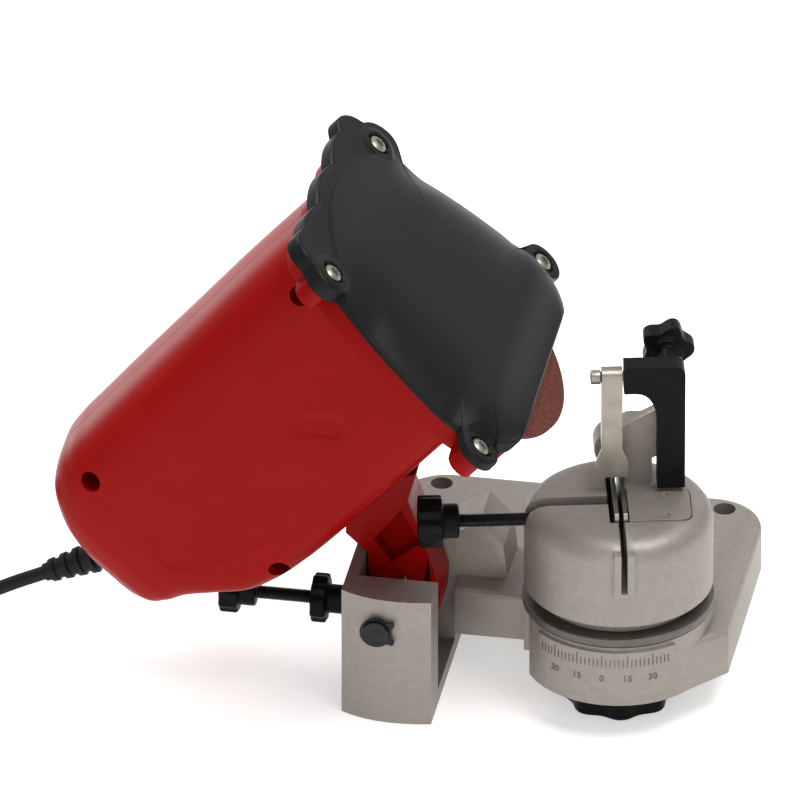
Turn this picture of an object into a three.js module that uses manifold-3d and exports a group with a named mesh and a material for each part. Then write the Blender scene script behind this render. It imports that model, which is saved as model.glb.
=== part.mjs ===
// Electric chainsaw sharpener: a motor head with a grinding disc swings down on a hinge
// towards a turning vise that holds the saw chain. Millimetres, +Z up, +X right, +Y back.
// Origin: midway between the two bench bolts, on the underside of the bench plate.
import * as THREE from "three";
import { mergeVertices } from "three/addons/utils/BufferGeometryUtils.js";
import Module from "manifold-3d";

const wasm = await Module();
wasm.setup();

// Shared clearances
const gap = 0.35;
const overrun = 2;

// Bench plate
const plateWidth = 155;
const plateBack = 9.5;
const plateFront = -84;
const plateHeight = 21;
const plateCorner = 22;
const plateBevel = 2.5;
const plateWall = 6;
const pocketDepth = 9;
const ribWall = 7;
const benchBoltSpacing = 120;
const benchHoleRadius = 4.7;
const buttressLeft = -40;
const buttressWidth = 21;
const buttressFront = -71;
const buttressDepth = 26;
const buttressHeight = 26;

// Hinge block
const blockOut = 2.8;
const blockLeft = -plateWidth / 2 - blockOut;
const blockWidth = 38.5;
const blockFront = -130;
const blockDrop = 17;
const frontEarDepth = 17;
const rearEarDepth = 16;
const earTop = 42;
const channelDepth = 41;
const blockWall = 5;
const blockFloor = 7;
const earBulge = 4.5;
const pinInset = 15.7;
const pinX = blockLeft + pinInset;
const pinZ = 27.3;
const pinRadius = 4;
const pinHeadRadius = 5.8;
const pinHeadHeight = 2.6;
const clipRadius = 6.1;
const clipHeight = 1.2;

// Swing plane of the head, which is also the middle of the vise
const lineY = -90;

// Depth stop screw
const screwRadius = 3;
const stopBelowPin = 12;
const stopReach = 3.3;
const stopRodLength = 50;
const stopKnobRadius = 9.6;
const stopKnobHeight = 8;
const stopHubHeight = 7;
const lockHubRadius = 6.1;
const lockHubHeight = 11.5;
const lockKnobRadius = 10.4;
const lockKnobHeight = 6.5;

// Vise
const viseX = 30.2;
const viseTurn = THREE.MathUtils.degToRad(13);
const bossRadius = 39.6;
const bossHeight = 28;
const ringRadius = 39.9;
const ringHeight = 3.6;
const headRadius = 39.4;
const headBottom = 36.6;
const headTop = 76;
const headFillet = 9;
const headRecess = 6;
const headBevel = 1.6;
const studRadius = 5;
const studDrop = 13;
const washerRadius = 17;
const washerHeight = 2;
const lockGripRadius = 24;
const lockGripHeight = 14.5;
const lockGripLobes = 8;
const flatOffset = 34;
const scaleProud = 1.6;

// Jaws
const jawGap = 1.7;
const jawThick = 1.9;
const jawFront = -18;
const jawBack = 35;
const jawBottom = 58;
const jawTop = 79;
const jawTravel = 1.6;
const jawPlateWidth = 26;
const jawPlateFront = -17.5;
const jawPlateBack = 8;
const jawPlateCorner = 5;
const jawPlateHeight = 2.4;
const chainSlot = 2.6;
const slotBottom = 55;
const lipWidth = 3;
const lipProud = 2;
const studTop = 41.6;
const clampZ = 68;
const clampRodEnd = 66;
const clampHubRadius = 7.3;
const clampHubHeight = 7;
const clampKnobRadius = 11;
const clampKnobHeight = 10;

// Chain stop
const postY = 19.5;
const postDepth = 10.5;
const postNeckLeft = 3;
const postNeckRight = 14.6;
const postTop = 132.6;
const postUpperLeft = 17;
const postUpperRight = 26.8;
const postUpperDepth = 5;
const postStep = 104;
const postLugRadius = 9.5;
const postLugZ = 92;
const elbowX = 22;
const elbowWidth = 11.5;
const elbowDepth = 9;
const elbowTop = 136.5;
const elbowBottom = 78.4;
const elbowArmHeight = 12.5;
const elbowArmReach = 2.3;
const elbowGusset = 9;
const pawlY = 9;
const pawlX = -2.6;
const pawlWidth = 8.6;
const pawlBottom = 84;
const pawlFootWidth = 13.2;
const pawlFootHeight = 13.5;
const pawlFlare = 5.5;
const pawlPivotZ = 130.2;
const pawlSheet = 1.6;
const pawlBoltRadius = 2;
const pawlBoltHead = 3;
const pawlBoltHeadLength = 4.2;
const starX = 21.8;
const starZ = 128.2;
const starStand = 12;
const stopScrewRadius = 2.5;
const starRadius = 11.5;
const starHubRadius = 6.7;
const starHeight = 9;
const starLobes = 5;
const elbowTravel = 4;

// Motor head, in its own frame: x to the disc's working edge, y back, z along the spindle
const headTilt = THREE.MathUtils.degToRad(41.7);
const discReach = 29.5;
const discRise = 123.4;
const discX = pinX + discReach;
const discZ = pinZ + discRise;
const discRadius = 54;
const discBore = 11.5;
const discThick = 3.2;
const housingTop = -83;
const housingBottom = 24.5;
const housingHalf = 36;
const housingFront = -7;
const housingRear = -190;
const housingWall = 3.2;
const recessClear = 1;
const recessRim = 2;
const tabRadius = 6;
const guardBack = 3;
const guardTop = 14.5;
const guardWall = 2.6;
const guardLip = 1.5;
const crownShare = 0.34;
const crownCentre = 14;
const guardFront = 39;
const guardRear = -88;
const guardWide = 74;
const guardNarrow = 50;
const guardScallop = 3.5;
const earRadius = 9.6;
const frontEarHeight = 4.5;
const rearEarHeight = 8;
const frontEarX = 21;
const frontEarOut = 1.5;
const rearEarX = -70;
const rearEarOut = 3;
const guardScrewRadius = 2;
const guardScrewHead = 4;
const shellScrewRadius = 2;
const shellScrewHead = 3.6;
const shellScrewWell = 4.2;
const spindleRadius = 5;
const rotorRadius = 12.5;
const rotorLength = 60;
const statorRadius = 19.5;
const statorLength = 52;
const motorStart = -50;
const bearingRadius = 9.5;
const bearingWidth = 7;
const clampRadius = 17;
const clampThick = 2.4;
const nutRadius = 8;
const nutHeight = 5;
const hubRadius = 9.2;
const armFront = -95.5;
const armRear = -74;
const hubFront = -101;
const armWall = 4;
const springRadius = 6.6;
const springWire = 0.9;
const springTurns = 3;
const springLeg = 9;
const switchWidth = 15;
const switchLength = 21;
const switchProud = 1.6;
const switchDepth = 12;

// Cord
const cordRadius = 3;
const cordFloor = -16.6;
const bootFrontRadius = 7.6;
const bootRearRadius = 4.6;
const bootLength = 32;
const bootRibs = 5;
const bootRootX = -32.7;
const bootRootOut = 6.9;
const bootTipX = -41.9;
const bootTipOut = 28.8;
const coilX = -335;
const coilY = -52;
const coilRadius = 41;
const coilPitch = 7;
const layerTurns = 2;
const layerCount = 4;
const tailTurns = 0.5;
const tailOut = 14;
const plugLength = 40;
const plugWidth = 34;
const plugHeight = 13;
const plugPinRadius = 2.4;
const plugPinLength = 19;
const plugPinSpacing = 19;

// Materials
function material(color, roughness, metalness) {
  return new THREE.MeshStandardMaterial({ color, roughness, metalness });
}
const castMetal = material(0xa9a59e, 0.55, 0.6);
const redPlastic = material(0xc21318, 0.38, 0);
const blackPlastic = material(0x17181a, 0.5, 0);
const steel = material(0xb9babb, 0.3, 0.9);
const darkSteel = material(0x232325, 0.45, 0.7);
const abrasive = material(0x6e2f22, 0.95, 0);
const rubber = material(0x111214, 0.8, 0);
const copper = material(0x9a5a2c, 0.4, 0.8);

// Solids: closed geometry in, manifold out, and back
function solid(geometry) {
  const bare = geometry.index ? geometry.toNonIndexed() : geometry.clone();
  bare.deleteAttribute("normal");
  bare.deleteAttribute("uv");
  const merged = mergeVertices(bare, 1e-4);
  return new wasm.Manifold(
    new wasm.Mesh({
      numProp: 3,
      vertProperties: merged.getAttribute("position").array,
      triVerts: new Uint32Array(merged.index.array),
    }),
  );
}

function geometryOf(body) {
  const mesh = body.getMesh();
  const geometry = new THREE.BufferGeometry();
  const places = new Float32Array(mesh.vertProperties);
  geometry.setAttribute("position", new THREE.BufferAttribute(places, 3));
  geometry.setIndex(new THREE.BufferAttribute(new Uint32Array(mesh.triVerts), 1));
  const flat = geometry.toNonIndexed();
  flat.computeVertexNormals();
  return flat;
}

function join(...bodies) {
  return bodies.reduce((all, body) => all.add(body));
}

function cut(body, ...tools) {
  return tools.reduce((left, tool) => left.subtract(tool), body);
}

// A box given by its low and high corners
function block(low, high) {
  const size = high.map((value, axis) => value - low[axis]);
  const geometry = new THREE.BoxGeometry(...size);
  geometry.translate(...high.map((value, axis) => (value + low[axis]) / 2));
  return solid(geometry);
}

// A rod along x, y or z from one value to another, at the other two coordinates
function rod(axis, from, to, across, radius, sides = 22, endRadius = radius) {
  const geometry = new THREE.CylinderGeometry(endRadius, radius, to - from, sides);
  geometry.translate(0, (to + from) / 2, 0);
  if (axis === "x") {
    geometry.rotateZ(-Math.PI / 2);
    geometry.translate(0, across[0], across[1]);
  } else if (axis === "z") {
    geometry.rotateX(Math.PI / 2);
    geometry.translate(across[0], across[1], 0);
  } else {
    geometry.translate(across[0], 0, across[1]);
  }
  return solid(geometry);
}

// A flat outline raised along z from a height
function prism(shape, from, to, curveSegments = 12) {
  const options = { depth: to - from, bevelEnabled: false, curveSegments };
  const geometry = new THREE.ExtrudeGeometry(shape, options);
  geometry.translate(0, 0, from);
  return solid(geometry);
}

// The same outline with its x and z read in the swing plane, raised along y
function standing(shape, from, to, curveSegments = 12) {
  const options = { depth: to - from, bevelEnabled: false, curveSegments };
  const geometry = new THREE.ExtrudeGeometry(shape, options);
  geometry.rotateX(Math.PI / 2);
  geometry.translate(0, to, 0);
  return solid(geometry);
}

function revolve(profile, sides = 40) {
  const points = profile.map(([radius, height]) => new THREE.Vector2(radius, height));
  const geometry = new THREE.LatheGeometry(points, sides);
  geometry.rotateX(Math.PI / 2);
  return solid(geometry);
}

function turned(body, matrix) {
  return solid(geometryOf(body).applyMatrix4(matrix));
}

// A closed skin through rings of equal point count
function loft(rings) {
  const count = rings[0].length;
  const places = rings.flat(2);
  const faces = [];
  for (let r = 0; r < rings.length - 1; r += 1) {
    for (let i = 0; i < count; i += 1) {
      const next = (i + 1) % count;
      const low = r * count;
      const high = low + count;
      faces.push(low + i, low + next, high + next, low + i, high + next, high + i);
    }
  }
  const last = (rings.length - 1) * count;
  for (let i = 1; i < count - 1; i += 1) {
    faces.push(0, i + 1, i);
    faces.push(last, last + i, last + i + 1);
  }
  const geometry = new THREE.BufferGeometry();
  geometry.setAttribute("position", new THREE.Float32BufferAttribute(places, 3));
  geometry.setIndex(faces);
  return solid(geometry);
}

const part = new THREE.Group();
function addTo(group, name, body, look) {
  const mesh = new THREE.Mesh(geometryOf(body), look);
  mesh.name = name;
  group.add(mesh);
  return mesh;
}

// Sizes that follow from the driving ones
const plateHalf = plateWidth / 2;
const blockRight = blockLeft + blockWidth;
const earFrontBack = blockFront + frontEarDepth;
const earRearFront = earFrontBack + channelDepth;
const earRearBack = earRearFront + rearEarDepth;
const wallInner = blockLeft + blockWall;
const stopZ = pinZ - stopBelowPin;

// Base casting
function plateOutline() {
  const shape = new THREE.Shape();
  const tangent = Math.atan2(bossRadius, plateHalf - viseX);
  const flangeX = viseX + bossRadius * Math.sin(tangent);
  const flangeY = lineY - bossRadius * Math.cos(tangent);
  shape.moveTo(-plateHalf, earRearFront + rearEarDepth / 4);
  shape.lineTo(blockRight, plateFront);
  shape.lineTo(flangeX - bossRadius, plateFront);
  shape.lineTo(viseX, lineY - bossRadius / 4);
  shape.lineTo(flangeX, flangeY);
  shape.lineTo(plateHalf, lineY - plateBevel * 2);
  shape.lineTo(plateHalf, plateBack - plateCorner);
  shape.absarc(plateHalf - plateCorner, plateBack - plateCorner, plateCorner, 0, Math.PI / 2);
  shape.lineTo(plateCorner - plateHalf, plateBack);
  shape.absarc(plateCorner - plateHalf, plateBack - plateCorner, plateCorner, Math.PI / 2, Math.PI);
  shape.closePath();
  return shape;
}

function bevelledPlate() {
  const geometry = new THREE.ExtrudeGeometry(plateOutline(), {
    depth: plateHeight - plateBevel,
    bevelThickness: plateBevel,
    bevelSize: plateBevel,
    bevelOffset: -plateBevel,
    bevelSegments: 2,
    curveSegments: 8,
  });
  const whole = solid(geometry);
  const wide = plateWidth * 2;
  return cut(whole, block([-wide, -wide, -plateHeight], [wide, wide, 0]));
}

function earOutline() {
  const bow = new THREE.Shape();
  bow.moveTo(blockLeft, earFrontBack);
  bow.lineTo(blockLeft, blockFront + earBulge);
  bow.quadraticCurveTo(pinX, blockFront - earBulge, blockRight, blockFront + gap);
  bow.lineTo(blockRight, earFrontBack);
  bow.closePath();
  return bow;
}

function baseCasting() {
  const pockets = [];
  const pocketFront = earRearBack + ribWall;
  const pocketBack = plateBack - plateWall;
  const pocketCount = 4;
  const pitch = (plateWidth - 2 * plateWall + ribWall) / pocketCount;
  for (let i = 0; i < pocketCount; i += 1) {
    const left = plateWall - plateHalf + i * pitch + (i === 0 ? plateCorner : 0);
    const right = plateWall - plateHalf + (i + 1) * pitch - ribWall;
    const end = i === pocketCount - 1 ? plateCorner : 0;
    const clear = pocketBack - plateCorner + plateWall;
    pockets.push(block([left, pocketFront, -overrun], [right - end, clear, pocketDepth]));
  }
  const boss = rod("z", 0, bossHeight, [viseX, lineY], bossRadius, 44);
  const flat = block(
    [viseX - bossRadius - overrun, lineY - bossRadius * 2, -overrun],
    [viseX - flatOffset, plateFront - overrun * 4, bossHeight + overrun],
  );
  const scaleOutline = new THREE.Shape();
  const from = -Math.PI / 2 - Math.PI / 4;
  const to = -Math.PI / 2 + Math.PI / 4;
  scaleOutline.absarc(viseX, lineY, bossRadius + scaleProud, from, to, false);
  scaleOutline.absarc(viseX, lineY, bossRadius - scaleProud, to, from, true);
  const scale = prism(scaleOutline, plateHeight / 4, bossHeight - scaleProud, 16);
  const ear = prism(earOutline(), -blockDrop, earTop, 14);
  const rearEar = block([blockLeft, earRearFront, -blockDrop], [blockRight, earRearBack, earTop - overrun]);
  const wall = block([blockLeft, earFrontBack - overrun, -blockDrop], [wallInner, earRearFront + overrun, earTop]);
  const floor = block(
    [blockLeft, earFrontBack - overrun, -blockDrop],
    [blockRight, earRearFront + overrun, blockFloor - blockDrop],
  );
  const slope = new THREE.Shape();
  slope.moveTo(buttressLeft - overrun * 2, plateHeight / 2);
  slope.lineTo(buttressLeft + buttressWidth, plateHeight / 2);
  slope.lineTo(buttressLeft + buttressWidth - plateBevel, plateHeight + buttressHeight * 0.6);
  slope.lineTo(buttressLeft + buttressWidth * 0.4, plateHeight + buttressHeight);
  slope.lineTo(buttressLeft - overrun * 2, earTop - overrun);
  slope.closePath();
  const buttress = standing(slope, buttressFront, buttressFront + buttressDepth);
  const channelCut = block(
    [wallInner, earFrontBack, blockFloor - blockDrop],
    [blockRight + overrun, earRearFront, earTop + overrun],
  );
  const body = cut(
    join(bevelledPlate(), boss, scale, ear, rearEar, wall, floor, buttress),
    channelCut,
    flat,
    ...pockets,
    rod("z", -overrun, plateHeight + overrun, [-benchBoltSpacing / 2, 0], benchHoleRadius),
    rod("z", -overrun, plateHeight + overrun, [benchBoltSpacing / 2, 0], benchHoleRadius),
    rod("z", -overrun, bossHeight + overrun, [viseX, lineY], studRadius + gap),
    rod("y", blockFront - earBulge * 2, earRearBack + overrun, [pinX, pinZ], pinRadius + gap),
    rod("x", blockLeft - overrun, wallInner + overrun, [lineY, stopZ], screwRadius + gap),
  );
  return body;
}
addTo(part, "base_casting", baseCasting(), castMetal);

// Hinge pin with its clip and the return spring round it
const pinFront = blockFront - earBulge / 2 - gap;
const pinBack = earRearBack + clipHeight + gap * 2 + overrun;
addTo(
  part,
  "hinge_pin",
  join(
    rod("y", pinFront - gap, pinBack, [pinX, pinZ], pinRadius),
    rod("y", pinFront - pinHeadHeight, pinFront, [pinX, pinZ], pinHeadRadius),
  ),
  darkSteel,
);
const clipRing = cut(
  rod("y", earRearBack + gap, earRearBack + gap + clipHeight, [pinX, pinZ], clipRadius),
  rod("y", earRearBack, earRearBack + overrun * 2, [pinX, pinZ], pinRadius + gap),
  block(
    [pinX, earRearBack, pinZ - pinRadius / 2],
    [pinX + clipRadius + overrun, earRearBack + overrun * 2, pinZ + pinRadius / 2],
  ),
);
addTo(part, "pin_clip", clipRing, darkSteel);

// A knob with grip lobes, its axis along z, standing on z = 0
function lobedKnob(radius, height, lobes, hollowShare, stepsPerLobe = 4) {
  const shape = new THREE.Shape();
  const steps = lobes * stepsPerLobe;
  for (let i = 0; i <= steps; i += 1) {
    const angle = (i / steps) * Math.PI * 2;
    const reach = radius * (1 - hollowShare * (0.5 - 0.5 * Math.cos(angle * lobes)));
    const place = [reach * Math.cos(angle), reach * Math.sin(angle)];
    if (i === 0) shape.moveTo(...place);
    else if (i < steps) shape.lineTo(...place);
  }
  shape.closePath();
  const edge = radius * 0.09;
  const geometry = new THREE.ExtrudeGeometry(shape, {
    depth: height - edge * 2,
    bevelThickness: edge,
    bevelSize: edge,
    bevelOffset: -edge,
    bevelSegments: 1,
  });
  geometry.translate(0, 0, edge);
  return solid(geometry);
}

// Turns a body's z axis to another direction and moves it
function aimed(body, direction, place) {
  const turn = new THREE.Quaternion().setFromUnitVectors(
    new THREE.Vector3(0, 0, 1),
    new THREE.Vector3(...direction).normalize(),
  );
  const matrix = new THREE.Matrix4().compose(
    new THREE.Vector3(...place),
    turn,
    new THREE.Vector3(1, 1, 1),
  );
  return turned(body, matrix);
}

// Depth stop: a screw through the block's left wall, its lock knob and its end knob
const stopTip = wallInner + stopReach;
const stopTail = stopTip - stopRodLength;
const lockOuter = blockLeft - gap - lockHubHeight - lockKnobHeight;
const lockKnob = cut(
  join(
    rod("x", blockLeft - gap - lockHubHeight, blockLeft - gap, [lineY, stopZ], lockHubRadius),
    aimed(
      lobedKnob(lockKnobRadius, lockKnobHeight + gap, 10, 0.08, 3),
      [1, 0, 0],
      [lockOuter, lineY, stopZ],
    ),
  ),
  rod("x", lockOuter - overrun, blockLeft, [lineY, stopZ], screwRadius + gap),
);
const endKnobHub = stopTail - gap;
const endKnob = join(
  rod("x", endKnobHub - stopHubHeight, endKnobHub, [lineY, stopZ], lockHubRadius),
  aimed(
    lobedKnob(stopKnobRadius, stopKnobHeight + gap, 10, 0.08, 3),
    [1, 0, 0],
    [endKnobHub - stopHubHeight - stopKnobHeight, lineY, stopZ],
  ),
);
addTo(part, "stop_rod", rod("x", stopTail, stopTip, [lineY, stopZ], screwRadius), darkSteel);
addTo(part, "stop_lock_knob", lockKnob, blackPlastic);
addTo(part, "stop_end_knob", endKnob, blackPlastic);

// Vise, built about its own axis and turned with it
const vise = new THREE.Group();
vise.position.set(viseX, lineY, 0);
vise.rotation.z = viseTurn;
part.add(vise);
const ringBottom = bossHeight + gap;
const ringTop = ringBottom + ringHeight;
addTo(
  vise,
  "vise_ring",
  cut(
    rod("z", ringBottom, ringTop, [0, 0], ringRadius, 44),
    rod("z", bossHeight, ringTop + overrun, [0, 0], studRadius + gap),
  ),
  darkSteel,
);

const plateLeft = jawGap / 2 + jawThick + gap * 2;
function postOutline() {
  const shape = new THREE.Shape();
  const shoulder = postLugZ + postLugRadius;
  shape.moveTo(postNeckLeft, headTop - overrun);
  shape.lineTo(postNeckLeft, postLugZ - postLugRadius);
  shape.absarc(0, postLugZ, postLugRadius, -Math.PI / 2, Math.PI / 2, true);
  shape.lineTo(postUpperLeft, shoulder + postLugRadius);
  shape.lineTo(postUpperLeft, postTop);
  shape.lineTo(postUpperRight, postTop);
  shape.lineTo(postUpperRight, shoulder);
  shape.quadraticCurveTo(postUpperRight, postLugZ, postNeckRight, postLugZ - postLugRadius / 2);
  shape.lineTo(postNeckRight, headTop - overrun);
  shape.closePath();
  return shape;
}

// The inlay plate's outline, square towards the jaws and rounded away from them
function jawPlateOutline(grow, over) {
  const left = plateLeft - over;
  const right = plateLeft + jawPlateWidth + grow;
  const front = jawPlateFront - grow;
  const back = jawPlateBack + grow;
  const round = jawPlateCorner;
  const shape = new THREE.Shape();
  shape.moveTo(left, front);
  shape.lineTo(right - round, front);
  shape.absarc(right - round, front + round, round, -Math.PI / 2, 0);
  shape.absarc(right - round, back - round, round, 0, Math.PI / 2);
  shape.lineTo(left, back);
  shape.closePath();
  return shape;
}

function viseHead() {
  const bottom = ringTop + gap;
  const inner = headRadius - headFillet;
  const profile = [
    [0, bottom],
    [headRadius - headRecess, bottom],
    [headRadius - headRecess, headBottom],
    [headRadius - headBevel, headBottom],
    [headRadius, headBottom + headBevel],
  ];
  const roundSteps = 4;
  for (let i = 0; i <= roundSteps; i += 1) {
    const angle = (i / roundSteps) * (Math.PI / 2);
    profile.push([
      inner + headFillet * Math.cos(angle),
      headTop - headFillet + headFillet * Math.sin(angle),
    ]);
  }
  profile.push([0, headTop]);
  const lipTop = headTop - headFillet * 0.3;
  const lip = chainSlot / 2 + lipWidth;
  const lips = block([-lip, -headRadius - lipProud, slotBottom - lipProud], [lip, -inner, lipTop]);
  const postFront = postY - postDepth / 2;
  const post = cut(
    standing(postOutline(), postFront, postY + postDepth / 2, 10),
    block(
      [-postUpperRight, postFront + postUpperDepth, postStep],
      [postUpperRight + overrun, postY + postDepth, postTop + overrun],
    ),
  );
  const jawSide = jawGap / 2 + jawThick + gap;
  const reach = headRadius + overrun * 2;
  return cut(
    join(revolve(profile, 44), lips, post),
    block([-chainSlot / 2, -reach, slotBottom], [chainSlot / 2, jawFront + overrun, headTop + overrun]),
    block([-chainSlot / 2, jawBack - overrun, slotBottom], [chainSlot / 2, reach, headTop + overrun]),
    block([-jawSide - jawTravel, jawFront - gap, jawBottom - gap], [jawSide, jawBack + gap, headTop + overrun]),
    block([-reach, -screwRadius - gap, clampZ - screwRadius - gap], [0, screwRadius + gap, headTop + overrun]),
    prism(jawPlateOutline(gap, overrun), headTop - jawPlateHeight, headTop + overrun, 4),
    rod("z", ringTop, studTop + gap, [0, 0], studRadius + gap),
    rod("y", postY - postDepth, postY + postDepth, [starX, starZ], stopScrewRadius + gap, 16),
  );
}
addTo(vise, "vise_head", viseHead(), castMetal);

// Jaws: the left one is pushed by the clamp screw, the right one is fixed
function jawRail(side) {
  const inner = side * (jawGap / 2);
  const outer = side * (jawGap / 2 + jawThick);
  const rail = new THREE.Shape();
  rail.moveTo(jawFront, jawBottom);
  rail.lineTo(jawBack, jawBottom);
  rail.lineTo(jawBack, jawTop - jawThick);
  rail.lineTo(jawBack - jawThick * 3, jawTop);
  rail.lineTo(jawThick + jawFront, jawTop);
  rail.lineTo(jawFront, jawTop - jawThick);
  rail.closePath();
  const geometry = new THREE.ExtrudeGeometry(rail, { depth: jawThick, bevelEnabled: false });
  geometry.rotateX(Math.PI / 2);
  geometry.rotateZ(Math.PI / 2);
  geometry.translate(Math.min(inner, outer), 0, 0);
  return solid(geometry);
}
addTo(vise, "moving_jaw", jawRail(-1), steel);
addTo(vise, "fixed_jaw", jawRail(1), steel);
const plateDimples = [0.15, 0.8].map((share) => {
  const y = jawPlateFront + (jawPlateBack - jawPlateFront) * share;
  return rod("z", headTop - gap, headTop + overrun, [plateLeft + jawPlateWidth * 0.6, y], lipWidth / 2, 16);
});
addTo(
  vise,
  "jaw_plate",
  cut(
    prism(jawPlateOutline(0, 0), headTop - jawPlateHeight + gap, headTop + gap, 4),
    ...plateDimples,
  ),
  steel,
);

// Clamp screw and its knob
const clampTip = -jawGap / 2 - jawThick - gap;
addTo(vise, "clamp_rod", rod("x", -clampRodEnd, clampTip, [0, clampZ], screwRadius), darkSteel);
addTo(
  vise,
  "clamp_knob",
  join(
    rod("x", -clampRodEnd - gap - clampHubHeight, -clampRodEnd - gap, [0, clampZ], clampHubRadius),
    aimed(
      lobedKnob(clampKnobRadius, clampKnobHeight + gap, 10, 0.08, 3),
      [1, 0, 0],
      [-clampRodEnd - gap - clampHubHeight - clampKnobHeight, 0, clampZ],
    ),
  ),
  blackPlastic,
);

// Pivot stud, washer and lock knob below the boss
addTo(vise, "pivot_stud", rod("z", -studDrop, studTop, [0, 0], studRadius), steel);
addTo(
  vise,
  "lock_washer",
  cut(
    rod("z", -gap - washerHeight, -gap, [0, 0], washerRadius),
    rod("z", -overrun - washerHeight, overrun, [0, 0], studRadius + gap),
  ),
  steel,
);
const gripTop = -gap * 2 - washerHeight;
addTo(
  vise,
  "angle_lock_knob",
  cut(
    aimed(lobedKnob(lockGripRadius, lockGripHeight, lockGripLobes, 0.1), [0, 0, 1], [0, 0, gripTop - lockGripHeight]),
    rod("z", -studDrop - gap, overrun, [0, 0], studRadius + gap),
  ),
  blackPlastic,
);

// Chain stop
function elbow() {
  const left = elbowX - elbowWidth / 2;
  const right = elbowX + elbowWidth / 2;
  const outline = new THREE.Shape();
  outline.moveTo(left, elbowBottom);
  outline.lineTo(right, elbowBottom);
  outline.lineTo(right, elbowTop - elbowGusset / 2);
  outline.quadraticCurveTo(right, elbowTop, right - elbowGusset / 2, elbowTop);
  outline.lineTo(elbowArmReach, elbowTop);
  outline.lineTo(elbowArmReach, elbowTop - elbowArmHeight);
  outline.lineTo(left - elbowGusset, elbowTop - elbowArmHeight);
  outline.quadraticCurveTo(left, elbowTop - elbowArmHeight, left, elbowTop - elbowArmHeight - elbowGusset * 2);
  outline.closePath();
  const front = pawlY - elbowDepth / 2;
  return cut(
    standing(outline, front, front + elbowDepth, 8),
    rod("x", elbowArmReach - overrun, starX - stopScrewRadius * 2 + gap, [pawlY, pawlPivotZ], pawlBoltRadius + gap, 16),
    rod("y", pawlY, front + elbowDepth * 2, [starX, starZ], stopScrewRadius + gap, 16),
  );
}
addTo(vise, "stop_elbow", elbow(), blackPlastic);

// Pawl: a folded channel that hangs on its bolt and stops the chain's next tooth
function pawl() {
  const half = pawlWidth / 2;
  const footHalf = pawlFootWidth / 2;
  const footTop = pawlBottom + pawlFootHeight;
  const web = new THREE.Shape();
  web.moveTo(-half, footTop);
  web.lineTo(-footHalf, footTop - pawlFlare);
  web.lineTo(-footHalf, pawlBottom);
  web.lineTo(footHalf, pawlBottom);
  web.lineTo(footHalf, footTop - pawlFlare);
  web.lineTo(half, footTop);
  web.lineTo(half, pawlPivotZ);
  web.lineTo(-half, pawlPivotZ);
  web.closePath();
  const front = pawlY - half;
  const sheet = standing(web, front, front + pawlSheet);
  const inner = half - pawlSheet;
  const channel = cut(
    join(
      block([-half, front, footTop], [half, pawlY + half, pawlPivotZ]),
      rod("x", -half, half, [pawlY, pawlPivotZ], half, 20),
    ),
    block([-inner, pawlY - inner, footTop - overrun], [inner, pawlY + half + overrun, pawlPivotZ]),
    rod("x", -inner, inner, [pawlY, pawlPivotZ], inner, 20),
  );
  const body = cut(
    join(sheet, channel),
    rod("x", -half - overrun, half + overrun, [pawlY, pawlPivotZ], pawlBoltRadius + gap, 16),
  );
  return body.translate([pawlX, 0, 0]);
}
addTo(vise, "chain_pawl", pawl(), steel);
const boltEnd = starX - stopScrewRadius * 2;
const boltLeft = pawlX - pawlWidth / 2 - gap;
addTo(
  vise,
  "pawl_bolt",
  join(
    rod("x", boltLeft - gap, boltEnd, [pawlY, pawlPivotZ], pawlBoltRadius, 16),
    rod("x", boltLeft - pawlBoltHeadLength, boltLeft, [pawlY, pawlPivotZ], pawlBoltHead, 16),
  ),
  steel,
);

// Star knob with its screw, which moves the elbow along the chain
const starFront = postY - postDepth / 2 + postUpperDepth + gap;
const starLow = starFront + starStand;
addTo(
  vise,
  "star_knob",
  join(
    aimed(lobedKnob(starRadius, starHeight, starLobes, 0.22), [0, 1, 0], [starX, starLow, starZ]),
    rod("y", starLow - stopScrewRadius, starLow + starHeight / 2, [starX, starZ], starHubRadius, 24),
    rod("y", starFront, starLow, [starX, starZ], stopScrewRadius * 1.6, 16),
    rod("y", pawlY + gap, starFront + overrun, [starX, starZ], stopScrewRadius, 16),
  ),
  blackPlastic,
);

// Motor head, built along its spindle
const head = new THREE.Group();
head.position.set(discX, lineY, discZ);
head.rotation.y = headTilt;
part.add(head);
head.updateMatrixWorld(true);
const toHead = head.matrixWorld.clone().invert();
const inHead = (body) => turned(body, toHead);
const housingSpan = housingBottom - housingTop;
const housingLength = housingFront - housingRear;

// Housing sections as shares: of the length, and of the half height above, below and aside
const housingShares = [
  [0, 1, 1, 1],
  [0.2, 1, 1, 1],
  [0.42, 0.98, 0.99, 1],
  [0.6, 0.965, 0.97, 0.985],
  [0.69, 0.955, 0.93, 0.97],
  [0.76, 0.945, 0.85, 0.955],
  [0.82, 0.935, 0.7, 0.93],
  [0.88, 0.89, 0.56, 0.88],
  [0.93, 0.74, 0.49, 0.81],
  [0.965, 0.52, 0.41, 0.7],
  [0.988, 0.28, 0.27, 0.52],
  [1, 0.08, 0.12, 0.28],
];
const cornerShare = 0.36;
const topCornerShare = 0.52;

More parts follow.
